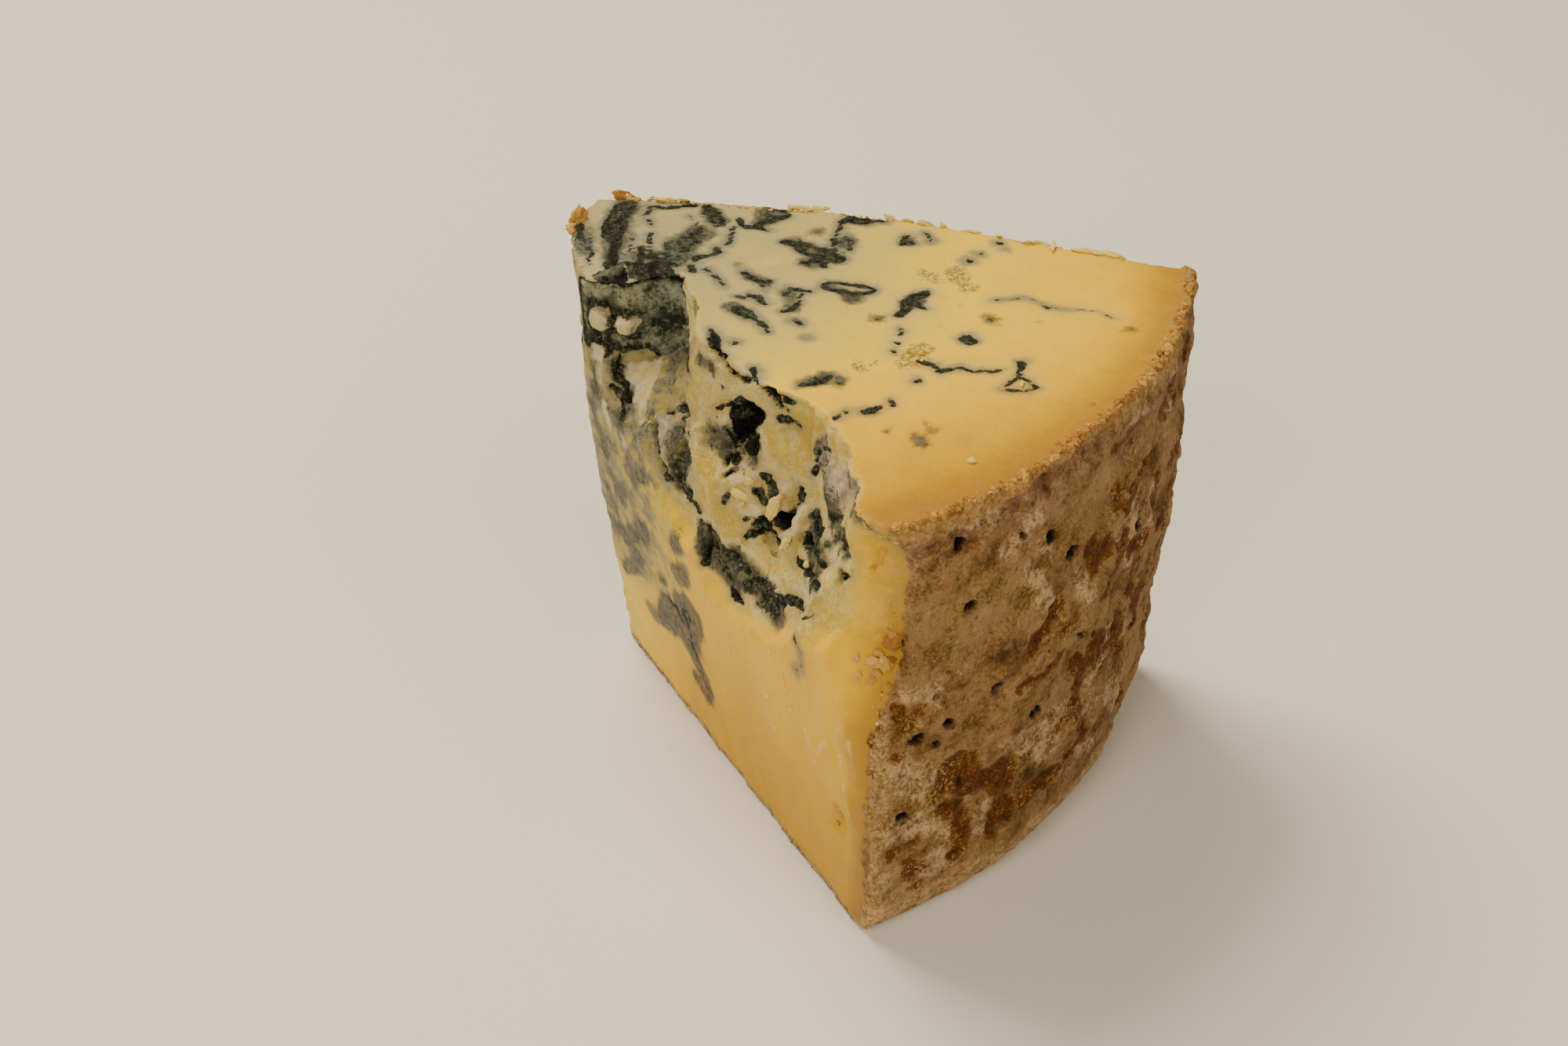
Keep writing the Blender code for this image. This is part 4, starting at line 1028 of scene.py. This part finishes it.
paste = laid_over(
    paste,
    (halo * (0.5 - dry * 0.25), (0.38, 0.33, 0.165)),
    (cool * (1.0 - fresh * 0.65) * (0.74 - dry * 0.2), (0.112, 0.128, 0.116)),
    (whitish * fresh * 0.30, (0.68, 0.60, 0.38)),
    (veiled * 0.46, veil_tone),
    (place.attribute("near_nose") * (mottled * 0.66 + 0.34), mottled_tone),
    (spared * 0.85, spared_tone),
    (haze_mask * (middling * 0.2 + soft * 0.15 + 0.90), smudge),
)
print("with the stains:", len(material.node_tree.nodes))

# %% The mould's own colour: nearly black where it is thin, grey and ashen where it is thick, and painted shade, all but black, in the deepest cracks
breaks = (middling + slow * 0.3).step(0.8, 1.5)
edge = mould_at + soft * 0.13 + fine * 0.13 + grains * 0.11 - breaks * 0.22 + fresh * middling * 0.22
sooty = (grains + fine * 0.6).step(-0.5, 0.6)
crystals = (place.noise(0.6, 3.0, 0.7) + fine * 0.5 + fresh * 0.25).step(0.25, 1.1)
greys = (middling * 0.9 + patchy).tone(-0.6, 0.8, (0.060, 0.066, 0.044), (0.175, 0.178, 0.125))
thick = (grains + fine * 0.8).tone(-0.55, 0.7, (0.012, 0.015, 0.008), greys)
ashen = (middling * 0.7 + patchy).tone(-0.6, 0.7, (0.060, 0.074, 0.050), (0.36, 0.35, 0.235))
ashen = (fine + grains * 0.6).tone(-1.1, 0.2, (0.035, 0.042, 0.028), ashen)
thick = (mould_at + patchy * 0.4).tone(0.5, 1.3, thick, ashen)
ashen_wall = middling * 0.9 + patchy * 0.9 + fine * 0.7 + grains * 0.5
ashen_wall = ashen_wall.tone(-0.75, 1.0, (0.018, 0.026, 0.018), (0.31, 0.335, 0.265))
# painted shade, all but black, in the left cut's cracks and hollows; on the top the same strokes blacken the
# darkest veins
shadowed = (place.attribute("gloom") + fine * 0.3 + grains * 0.2).step(-0.35, 0.3)
velvet = laid_over(
    sooty.blend((0.006, 0.008, 0.004), (0.040, 0.046, 0.028)),
    (crystals * (fresh * 0.45 + 0.4), (0.200, 0.215, 0.140)),
    ((edge + middling * 0.20).step(0.34, 0.95), thick),
    (shadowed, sooty.blend((0.001, 0.001, 0.001), (0.011, 0.011, 0.006))),
    (place.attribute("inner") * (1.0 - shadowed) * 0.75, ashen_wall),
)
flecks = (place.noise(1.1, 4.0, 0.7) + haze_mask * 0.7 + halo * 0.2).step(1.05, 1.7)
speckled = (fine * 0.8 + grains * 0.6 + middling * 0.4 + haze_mask * 1.1 + veiled * 0.3).step(1.05, 1.45)
mould_mask = edge.step(-0.08, 0.08).larger(flecks * haze_mask.larger(halo) * 0.75)
mould_mask = mould_mask.larger(speckled * fresh * 0.8).larger(shadowed)
print("with the mould:", len(material.node_tree.nodes))

# %% Dust, ochre crumbs and pale flecks on the break
dusty = (place.attribute("dust") + patchy * 0.6 + fine * 0.4).step(-0.9, 1.0)
crumbed = place.attribute("ochre") + fine * 0.7 + grains * 0.35 + middling * 0.5 - 0.35
pale_fleck = (place.attribute("pale") + fine * 0.30 + grains * 0.22 + middling * 0.2).step(-0.15, 0.30)
ochre_tone = (grains + fine * 0.4).tone(-0.5, 0.7, (0.155, 0.115, 0.010), (0.66, 0.50, 0.09))
cut_colour = laid_over(
    paste,
    (dusty * 0.85, (fine + middling).tone(-0.9, 0.9, (0.22, 0.185, 0.145), (0.50, 0.41, 0.32))),
    (crumbed.step(-0.30, 0.35) * 0.9, ochre_tone),
    (pale_fleck * 0.6, grains.tone(-0.8, 0.6, (0.56, 0.38, 0.09), (0.82, 0.63, 0.24))),
    (mould_mask, velvet),
)
print("with dust and crumbs:", len(material.node_tree.nodes))

# %% What makes up the rind: its patterns, and where each finish lies
lumps = place.noise(6.5, 3.0, 0.55)
crags = place.noise(1.9, 6.0, 0.70)
pits = place.noise(0.8, 3.0, 0.6)
grit = place.noise(0.45, 4.0, 0.75)
streaks = place.turned(math.radians(-20.0), 0.0, 0.0).noise(2.4, 5.0, 0.62, (1.0, 0.38, 1.0))
# painted shade: where the crust's bump sinks into hollows
hollow_shade = (crags * 0.80 + streaks * 0.50 + pits * 0.30 + grit * 0.45).step(-0.20, -1.35)
veil = (streaks * 0.8 + lumps * 0.5 + crags * 0.5 + grit * 0.35 - patchy * 0.3).step(0.15, 1.25)
olive = (place.noise(9.0, 2.0) + crags * 0.3 + grit * 0.3).step(0.05, 0.9)
pale = place.attribute("bloom") + patchy * 0.9 + crags * 0.8 + streaks * 0.6 + grit * 0.35
rusty = place.attribute("rust") * 0.85 + streaks * 0.85 + crags * 0.75
rusty = (rusty + grit * 0.40 + patchy * 0.35 + pits * 0.2).step(-0.35, 0.10)
# painted shade: where the bump's pits are deepest
pit_shade = (pits + crags * 0.5).step(-0.70, -1.15)
dusting = (grit + patchy * 0.5 + rusty * 0.2).step(0.55, 0.90)
height = place.node("ShaderNodeSeparateXYZ", {}, {"Vector": place}, 2) * (1.0 / MM)
low_band = (height + slow * 1.4 + patchy * 1.5 + crags * 0.8).step(8.6, 5.6)
pinkish = (height + lumps * 3.0 + patchy * 2.0 + crags).step(HEIGHT - 8.0, HEIGHT - 1.0)
rim_band = (height + patchy * 0.9 + crags * 0.5).step(HEIGHT - 1.9, HEIGHT - 0.8)
corner = (place.attribute("cut_edge") + patchy * 0.4 + crags * 0.3).step(0.25, 0.75)
# painted shade inside the needle holes, which are also pushed in
hole_shade = (place.attribute("holes") + fine * 0.2).step(-0.35, 0.25)
base_line = (height + middling * 0.5 + fine * 0.3).step(1.9, 0.8)
on_crust = place.attribute("on_rind")
is_crust = on_crust.larger((depth + crags * 0.5 + patchy * 0.25).step(1.35, 0.85)).larger(base_line)
print("with the rind's patterns:", len(material.node_tree.nodes))

# %% The rind's colour, with painted shade in its hollows, pits and needle holes and painted light on its bumps
# each tone is darker where crags, streaks, pits and grit sink the bump and lighter where they raise it:
# painted shade and painted light over the crust's own colours
tan_with_relief_shade = (lumps * 0.34 + streaks * 0.24 + crags * 0.24 + grit * 0.30 + 0.5).ramp(
    (0.0, (0.115, 0.052, 0.013)),
    (0.28, (0.245, 0.128, 0.038)),
    (0.50, (0.395, 0.224, 0.088)),
    (0.72, (0.540, 0.335, 0.155)),
    (1.0, (0.620, 0.430, 0.215)),
)
rust_tone = (grit * 1.1 + crags * 0.7 + patchy * 0.5).step(-0.85, 1.1).ramp(
    (0.0, (0.060, 0.013, 0.001)),
    (0.45, (0.172, 0.045, 0.002)),
    (0.75, (0.265, 0.092, 0.006)),
    (1.0, (0.360, 0.152, 0.014)),
)
veil_brown = (grit + crags * 0.6).tone(-0.6, 0.6, (0.105, 0.042, 0.013), (0.31, 0.150, 0.048))
pale_tone = (crags + pits * 0.4 + grit * 0.9).tone(-0.75, 0.65, (0.260, 0.136, 0.050), (0.88, 0.615, 0.350))
low_tone = (crags + fine + grit * 0.8).tone(-0.9, 0.8, (0.26, 0.142, 0.052), (0.64, 0.430, 0.210))
rim_tone = grains * 0.5 + grit * 0.5 + crags * 0.7 + fine * 0.4
corner_tone = (grit + crags * 0.6).tone(-0.7, 0.6, (0.33, 0.165, 0.045), (0.78, 0.540, 0.260))
base_tone = (fine + grains + patchy * 0.5).tone(-0.7, 0.7, (0.21, 0.140, 0.070), (0.60, 0.47, 0.29))
crust = laid_over(
    tan_with_relief_shade,
    # painted shade in the crust's hollows
    (hollow_shade * 0.95, (0.085, 0.032, 0.010)),
    (veil * 0.6, veil_brown),
    (olive * 0.55, grit.tone(-0.7, 0.7, (0.120, 0.066, 0.012), (0.54, 0.360, 0.100))),
    (pale.step(-0.45, 1.0) * 0.84, pale_tone),
    (rusty * 0.92, rust_tone),
    # painted shade in the pits
    (pit_shade * 0.85, (0.050, 0.020, 0.007)),
    (dusting * 0.85, (patchy + lumps).tone(-0.5, 0.5, (0.60, 0.36, 0.085), (0.72, 0.52, 0.25))),
    (low_band * 0.9, low_tone),
    (pinkish * 0.5, (grit + crags).tone(-0.8, 0.8, (0.200, 0.105, 0.050), (0.62, 0.40, 0.24))),
    (rim_band * 0.85, rim_tone.tone(-0.9, 0.8, (0.36, 0.150, 0.030), (0.76, 0.48, 0.18))),
    (corner * 0.8, corner_tone),
    # painted shade inside the needle holes
    (hole_shade, (0.022, 0.010, 0.005)),
    (base_line * (1.0 - on_crust) * 0.9, base_tone),
)
print("with the rind's colour:", len(material.node_tree.nodes))

# %% Roughness and fine relief, and the finished shader
is_paste = 1.0 - is_crust
roughness = is_crust * 0.78 + is_paste * (mould_mask * 0.34 + 0.46 + middling * 0.08)
relief = fine * 0.022 + grains * 0.012 + fresh * (fine * 0.10 + grains * 0.05 + middling * 0.08)
relief = relief + mould_mask * (grains * 0.08 + fine * 0.08 - 0.14) + haze_mask * fine * 0.05
scored = place.noise(1.2, 3.0, 0.6, (0.35, 1.0, 1.0)) * 0.014
relief = relief + scored * (1.0 - fresh)
coarse = crags * 0.62 + pits * 0.26 + grit * 0.16 + streaks * 0.32 - rusty * 0.10 + dusting * 0.06
relief = relief * is_paste + is_crust * coarse * (1.0 - low_band * 0.55)
moist = is_paste * (1.0 - mould_mask) * (1.0 - dry * 0.9) * (middling * 0.12 + 0.16 + fresh * 0.10)
bump = place.node("ShaderNodeBump", {}, {"Height": relief, "Distance": MM, "Strength": 1.0})
feed(shader, {"Base Color": is_crust.blend(cut_colour, crust), "Roughness": roughness, "Normal": bump})
feed(shader, {"Coat Weight": moist, "Coat Roughness": 0.36, "Specular IOR Level": 0.15})
feed(shader, {"Subsurface Weight": 0.12, "Subsurface Scale": 0.002, "Subsurface Radius": (1.0, 0.55, 0.25)})
wedge.data.materials.clear()
wedge.data.materials.append(material)
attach(wedge, "root")
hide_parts("cheese_wedge")
print("the material has", len(material.node_tree.nodes), "nodes")

# %% [markdown]
# ## Crumbs
# The knife pushed crumbs of paste and rind over the edges, and they stick where they fell. Each is a small
# ball of a few triangles, pushed out of shape by noise, then flattened and turned. One mesh holds them all,
# and a number on each crumb says how brown it is. A search tree of the finished skin drops each crumb onto
# the real surface, so that none floats.

# %% Helpers that make crumbs and set them on the skin
skin = bmesh.new()
skin.from_mesh(wedge.data)
surface = BVHTree.FromBMesh(skin)
skin.free()
crumb_maker = bmesh.new()
crumb_tint = crumb_maker.verts.layers.float.new("tint")
chance = np.random.default_rng(40)


def add_crumb(place, radius, tint, shape=(1.0, 1.0, 0.8), fineness=1, sink=0.35, angle=None):
    """One crumb near a place from the wheel's axis in millimetres. It lies flat on the nearest skin."""
    spot = (Vector(place) + Vector((*WHEEL_AXIS, 0.0))) * MM
    touch, normal, _, _ = surface.find_nearest(spot)
    ball = bmesh.ops.create_icosphere(crumb_maker, subdivisions=fineness, radius=1.0)["verts"]
    lean = normal.to_track_quat("Z", "Y").to_matrix().to_4x4()
    spin = Matrix.Rotation(chance.uniform(0.0, 6.3), 4, "Z")
    turn = spin @ Matrix.Rotation(chance.normal(0.0, 0.25), 4, "X")
    if angle is not None:
        turn = Matrix.Rotation(math.radians(angle), 4, "Z")
    seed = Vector(chance.uniform(-50.0, 50.0, 3))
    stretch = Vector(shape) * Vector(chance.uniform(0.75, 1.3, 3))
    for vert in ball:
        bulge = 1.0 + 0.5 * noise.noise(vert.co * 0.9 + seed) + 0.35 * noise.noise(vert.co * 2.3 + seed)
        bulge += 0.2 * noise.noise(vert.co * 5.1 + seed)
        vert.co = Vector(vert.co * bulge) * stretch
        vert[crumb_tint] = tint
    rest = touch + normal * radius * MM * (shape[2] - 2.0 * sink * shape[2])
    settled = Matrix.Translation(rest) @ lean @ turn @ Matrix.Scale(radius * MM, 4)
    bmesh.ops.transform(crumb_maker, matrix=settled, verts=ball)
    for vert in ball:
        vert.co.z = max(vert.co.z, 0.00001)


def cut_place(s, z):
    """The place of a point on the left cut, from its distance from the nose and its height."""
    share = z / HEIGHT
    start = NOSE_LEFT[0] * (1.0 - share) + NOSE_LEFT[1] * share
    end = np.array([math.cos(NEAR_ANGLE), math.sin(NEAR_ANGLE)]) * rind_radius(z)
    run = (end - start) / np.linalg.norm(end - start)
    return (*(start + run * s), z)


print("crumbs can be added")

# %% Crumbs along the rim of the top, where the knife went through the rind
# tints, from the palest crumb at 0 to the brownest at 1
PALE, YELLOW, ORANGE = 0.05, 0.35, 0.65
RIM_DEGREES = 26.5
ABOVE_TOP = HEIGHT + 1.0
for _ in range(380):
    angle = math.radians(chance.uniform(-RIM_DEGREES, RIM_DEGREES))
    clump = noise.noise(Vector((angle * 14.0, 3.0, 0.0)))
    if chance.uniform(-0.5, 0.5) > clump + 0.12:
        continue
    out_by = chance.normal(69.3, 0.7)
    radius = 0.14 + 0.42 * chance.beta(1.2, 3.5)
    tint = min(max(chance.normal(0.54 + 0.15 * (out_by > 69.6), 0.14), 0.1), 1.0)
    add_crumb((out_by * math.cos(angle), out_by * math.sin(angle), ABOVE_TOP), radius, tint, sink=0.62)
for _ in range(30):
    angle = math.radians(chance.uniform(0.5 - RIM_DEGREES, RIM_DEGREES))
    heap = chance.uniform(0.4, 1.1)
    tint = chance.uniform(0.36, 0.62)
    for _ in range(int(14 * heap)):
        around = angle + heap * chance.normal(0.0, 0.75) / WHEEL_RADIUS
        out_by = 69.4 + heap * chance.normal(0.0, 0.35)
        spot = (out_by * math.cos(around), out_by * math.sin(around), ABOVE_TOP)
        size = heap * chance.uniform(0.22, 0.48)
        add_crumb(spot, size, tint + chance.normal(0.0, 0.07), fineness=2, sink=0.4)
print("the rim's crumbs have", len(crumb_maker.faces), "triangles")

# %% Flakes along the back edge: (x, y) from the wheel's axis, size, tint, and proportions
CLUSTERS = ((45.2, -3.0, 1.8), (39.0, 14.6, 1.5), (36.6, 12.6, 1.5), (41.2, -8.3, 1.2))
for x, y, spread in CLUSTERS:
    for _ in range(16):
        spot = (x + spread * chance.normal(0.0, 0.5), y + spread * chance.normal(0.0, 0.5), HEIGHT + 0.5)
        add_crumb(spot, chance.uniform(0.12, 0.30), chance.uniform(0.0, 0.45), sink=0.5)
BACK_FLAKES = (
    ((-8.2, 8.2), 1.1, 0.62, (1.4, 0.8, 0.8)), ((-7.0, 7.6), 0.8, PALE, (1.2, 0.8, 0.8)),
    ((-5.4, 7.2), 0.7, YELLOW, (1.6, 0.7, 0.5)), ((-1.6, 8.6), 0.9, PALE, (2.0, 0.7, 0.35)),
    ((0.6, 9.8), 0.8, PALE, (1.9, 0.6, 0.3)), ((-3.4, 7.6), 0.5, YELLOW, (1.6, 0.8, 0.4)),
    ((13.4, 17.8), 0.8, PALE, (1.6, 0.8, 0.5)), ((14.8, 18.6), 0.6, PALE, (1.2, 0.8, 0.7)),
    ((15.6, 19.4), 0.8, PALE, (1.7, 0.7, 0.5)), ((24.6, 22.4), 0.7, PALE, (1.9, 0.8, 0.35)),
    ((26.8, 23.0), 0.6, PALE, (1.5, 0.8, 0.4)), ((29.4, 23.9), 0.7, PALE, (2.0, 0.7, 0.4)),
    ((31.0, 24.2), 0.5, PALE, (1.4, 0.8, 0.5)), ((34.4, 25.8), 0.7, PALE, (1.6, 0.7, 0.4)),
    ((38.4, 27.9), 0.6, PALE, (1.7, 0.7, 0.4)), ((43.0, 28.9), 0.7, 0.15, (2.4, 0.5, 0.5)),
    ((45.0, 27.0), 0.6, PALE, (2.2, 0.5, 0.5)), ((42.0, 29.6), 0.6, YELLOW, (1.5, 0.7, 0.5)),
    ((48.8, 31.8), 1.0, PALE, (1.8, 0.8, 0.4)), ((50.6, 31.6), 0.9, 0.0, (1.6, 0.8, 0.4)),
    ((52.2, 31.0), 0.6, PALE, (1.3, 0.8, 0.6)), ((47.8, 32.6), 0.5, ORANGE, (1.6, 0.7, 0.4)),
    ((-7.8, -2.4), 0.9, 0.4, (1.3, 0.8, 0.9)), ((-7.0, -3.8), 0.7, 0.2, (1.2, 0.8, 0.8)),
    ((-6.2, -5.0), 0.5, YELLOW, (1.2, 0.8, 0.8)), ((61.8, -16.0), 0.42, 0.0, (1.0, 0.8, 0.5)),
    ((58.2, -0.5), 0.42, 0.0, (1.2, 0.7, 0.4)),
)
for (x, y), radius, tint, shape in BACK_FLAKES:
    add_crumb((x, y, HEIGHT + 0.6), radius, tint, shape, 3, 0.2)
for _ in range(70):
    along = chance.uniform(4.0, 62.0)
    x, y = NOSE_BACK[1] + along * np.array([math.cos(FAR_ANGLE), math.sin(FAR_ANGLE)])
    add_crumb((x, y + 0.4, HEIGHT + 0.6), chance.uniform(0.12, 0.3), chance.uniform(0.0, 0.4))
print("with the back edge:", len(crumb_maker.faces), "triangles")

# %% Crumbs on the left cut: (distance from the nose, height), size, tint
LEFT_CRUMBS = (
    ((62.6, 44.2), 0.85, 0.32), ((63.6, 44.1), 0.95, 0.36), ((64.4, 44.8), 0.8, 0.42),
    ((65.4, 44.2), 0.6, 0.45), ((63.4, 43.0), 0.6, 0.38), ((64.6, 46.8), 0.9, 0.72),
    ((63.8, 46.4), 0.6, 0.8), ((65.6, 47.2), 0.7, ORANGE), ((64.4, 47.9), 0.6, 0.5),
    ((63.0, 45.4), 0.5, 0.4), ((65.0, 45.8), 0.5, 0.85), ((62.8, 41.6), 0.45, 0.45),
    ((57.6, 14.6), 0.34, 0.45), ((58.6, 18.7), 0.3, 0.55), ((60.0, 43.6), 0.5, 0.35),
    ((61.0, 41.4), 0.42, 0.3), ((49.5, 30.0), 0.26, PALE), ((50.2, 28.6), 0.22, PALE),
    ((48.8, 27.4), 0.24, PALE), ((47.2, 31.6), 0.22, PALE), ((53.0, 24.6), 0.26, PALE),
    ((54.2, 22.8), 0.22, PALE), ((43.4, 24.9), 0.28, PALE), ((44.4, 33.2), 0.2, PALE),
    ((49.6, 41.0), 0.36, 0.2), ((50.4, 41.8), 0.3, 0.2), ((43.4, 41.2), 0.3, 0.2),
    ((39.6, 41.6), 0.3, 0.2), ((36.8, 50.6), 0.4, 0.2), ((35.2, 49.8), 0.45, 0.15),
    ((33.8, 46.8), 0.4, 0.2), ((45.6, 46.6), 0.4, 0.15),
)
for (s, z), radius, tint in LEFT_CRUMBS:
    add_crumb(cut_place(s, z), radius, tint, (1.1, 0.95, 0.75), 2)
CREAM_LUMPS = (
    ((38.3, 50.2), 0.85, PALE, -25.0, (0.85, 1.8, 0.8)), ((41.3, 47.8), 0.7, PALE, -6.0, (0.9, 2.2, 0.6)),
    ((33.6, 48.0), 0.75, PALE, 70.0, (0.9, 1.5, 0.5)), ((58.1, 16.6), 0.95, 0.3, 8.0, (0.7, 1.7, 0.5)),
)
for (s, z), radius, tint, angle, shape in CREAM_LUMPS:
    add_crumb(cut_place(s, z), radius, tint, shape, 3, 0.45, angle)
BASE_BAND = 1.6
for _ in range(120):
    z = abs(chance.normal(0.0, 1.0)) * 0.3 + 0.25 if chance.random() < 0.35 else chance.uniform(2.0, 52.0)
    if z < BASE_BAND:
        s = chance.uniform(2.0, CUT_LENGTH)
    else:
        s = CUT_LENGTH - 0.4 * abs(chance.normal(0.0, 1.0)) - 0.03 * z
    add_crumb(cut_place(s, z), chance.uniform(0.10, 0.26), min(abs(chance.normal(0.45, 0.15)), 1.0), sink=0.5)
print("with the left cut:", len(crumb_maker.faces), "triangles")

# %% Finish the crumbs
crumb_mesh = bpy.data.meshes.new("loose_crumbs")
bmesh.ops.recalc_face_normals(crumb_maker, faces=crumb_maker.faces)
crumb_maker.to_mesh(crumb_mesh)
crumb_maker.free()
loose_crumbs = new_object("loose_crumbs", crumb_mesh)
loose_crumbs.data.shade_flat()
crumb_material, crumb_shader, place = start_material("crumbs")
specks = place.noise(0.35, 3.0, 0.65)
crumb_tone = (place.attribute("tint") + specks * 0.12).ramp(
    (0.0, (0.70, 0.57, 0.17)),
    (0.35, (0.50, 0.290, 0.062)),
    (0.65, (0.33, 0.140, 0.026)),
    (1.0, (0.14, 0.044, 0.008)),
)
crumb_bump = place.node("ShaderNodeBump", {}, {"Height": specks * 0.05, "Distance": MM, "Strength": 1.0})
feed(crumb_shader, {"Base Color": crumb_tone, "Roughness": 0.62 + specks * 0.08, "Normal": crumb_bump})
feed(crumb_shader, {"Specular IOR Level": 0.25, "Subsurface Weight": 0.1, "Subsurface Scale": 0.001})
loose_crumbs.data.materials.append(crumb_material)
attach(loose_crumbs, "root")
print("the crumbs have", len(crumb_mesh.polygons), "triangles")

# %% [markdown]
# ## The studio
# A plain pale floor and soft light: one strong lamp on the left, as a window gives, and weaker ones on the
# right and in front. The camera looks down on the wedge's near corner.

# %% Floor and lights
floor_maker = bmesh.new()
bmesh.ops.create_grid(floor_maker, x_segments=1, y_segments=1, size=3.0)
floor_mesh = bpy.data.meshes.new("floor")
floor_maker.to_mesh(floor_mesh)
floor_maker.free()
floor = new_object("floor", floor_mesh)
floor_material, floor_shader, _ = start_material("floor")
feed(floor_shader, {"Base Color": (0.73, 0.71, 0.68, 1.0), "Roughness": 0.7})
floor.data.materials.append(floor_material)
floor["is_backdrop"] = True

world = bpy.data.worlds.new("studio")
world.use_nodes = True
feed(world.node_tree.nodes["Background"], {"Color": (1.0, 0.88, 0.68, 1.0), "Strength": 0.19})
bpy.context.scene.world = world


def lamp(name, place, aim, size, watts):
    """A square soft lamp at a place, aimed at a point."""
    data = bpy.data.lights.new(name, "AREA")
    data.size = size
    data.energy = watts
    data.color = (1.0, 0.87, 0.64)
    obj = bpy.data.objects.new(name, data)
    obj.location = place
    obj.rotation_euler = (Vector(aim) - Vector(place)).to_track_quat("-Z", "Y").to_euler()
    bpy.context.scene.collection.objects.link(obj)
    print(name, "at", place, "with", watts, "W")


MIDDLE = (0.0, 0.0, 0.03)
lamp("window", (-0.40, 0.08, 0.72), MIDDLE, 0.45, 8.7)
lamp("fill", (0.72, -0.20, 0.62), MIDDLE, 0.7, 3.6)
lamp("front", (0.10, -0.66, 0.56), MIDDLE, 0.35, 3.8)

# %% The camera
SLANT = math.radians(37.7)
TURN = math.radians(38.4)
ROLL = math.radians(-1.25)
CAMERA_PLACE = (0.1328, -0.1770, 0.2019)
right = Vector((math.cos(TURN), math.sin(TURN), 0.0))
ahead = Vector((-math.sin(TURN) * math.cos(SLANT), math.cos(TURN) * math.cos(SLANT), -math.sin(SLANT)))
above = right.cross(ahead)
rolled_right = math.cos(ROLL) * right + math.sin(ROLL) * above
rolled_up = math.cos(ROLL) * above - math.sin(ROLL) * right
axes = (rolled_right, rolled_up, -ahead)
camera_data = bpy.data.cameras.new("camera")
camera_data.lens = 50.4
camera_data.sensor_width = 36.0
camera_data.clip_start = 0.01
camera = bpy.data.objects.new("camera", camera_data)
camera.matrix_world = Matrix.Translation(CAMERA_PLACE) @ Matrix(axes).transposed().to_4x4()
bpy.context.scene.collection.objects.link(camera)
bpy.context.scene.camera = camera
print("the camera stands at", CAMERA_PLACE)

# %% Print the two boxes, and finish
shown_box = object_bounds()
boxes = {"cad": [list(corner) for corner in cad_box], "visual": [list(corner) for corner in shown_box]}
for name, box in boxes.items():
    print(name, [[round(value * 1000.0, 2) for value in corner] for corner in box])
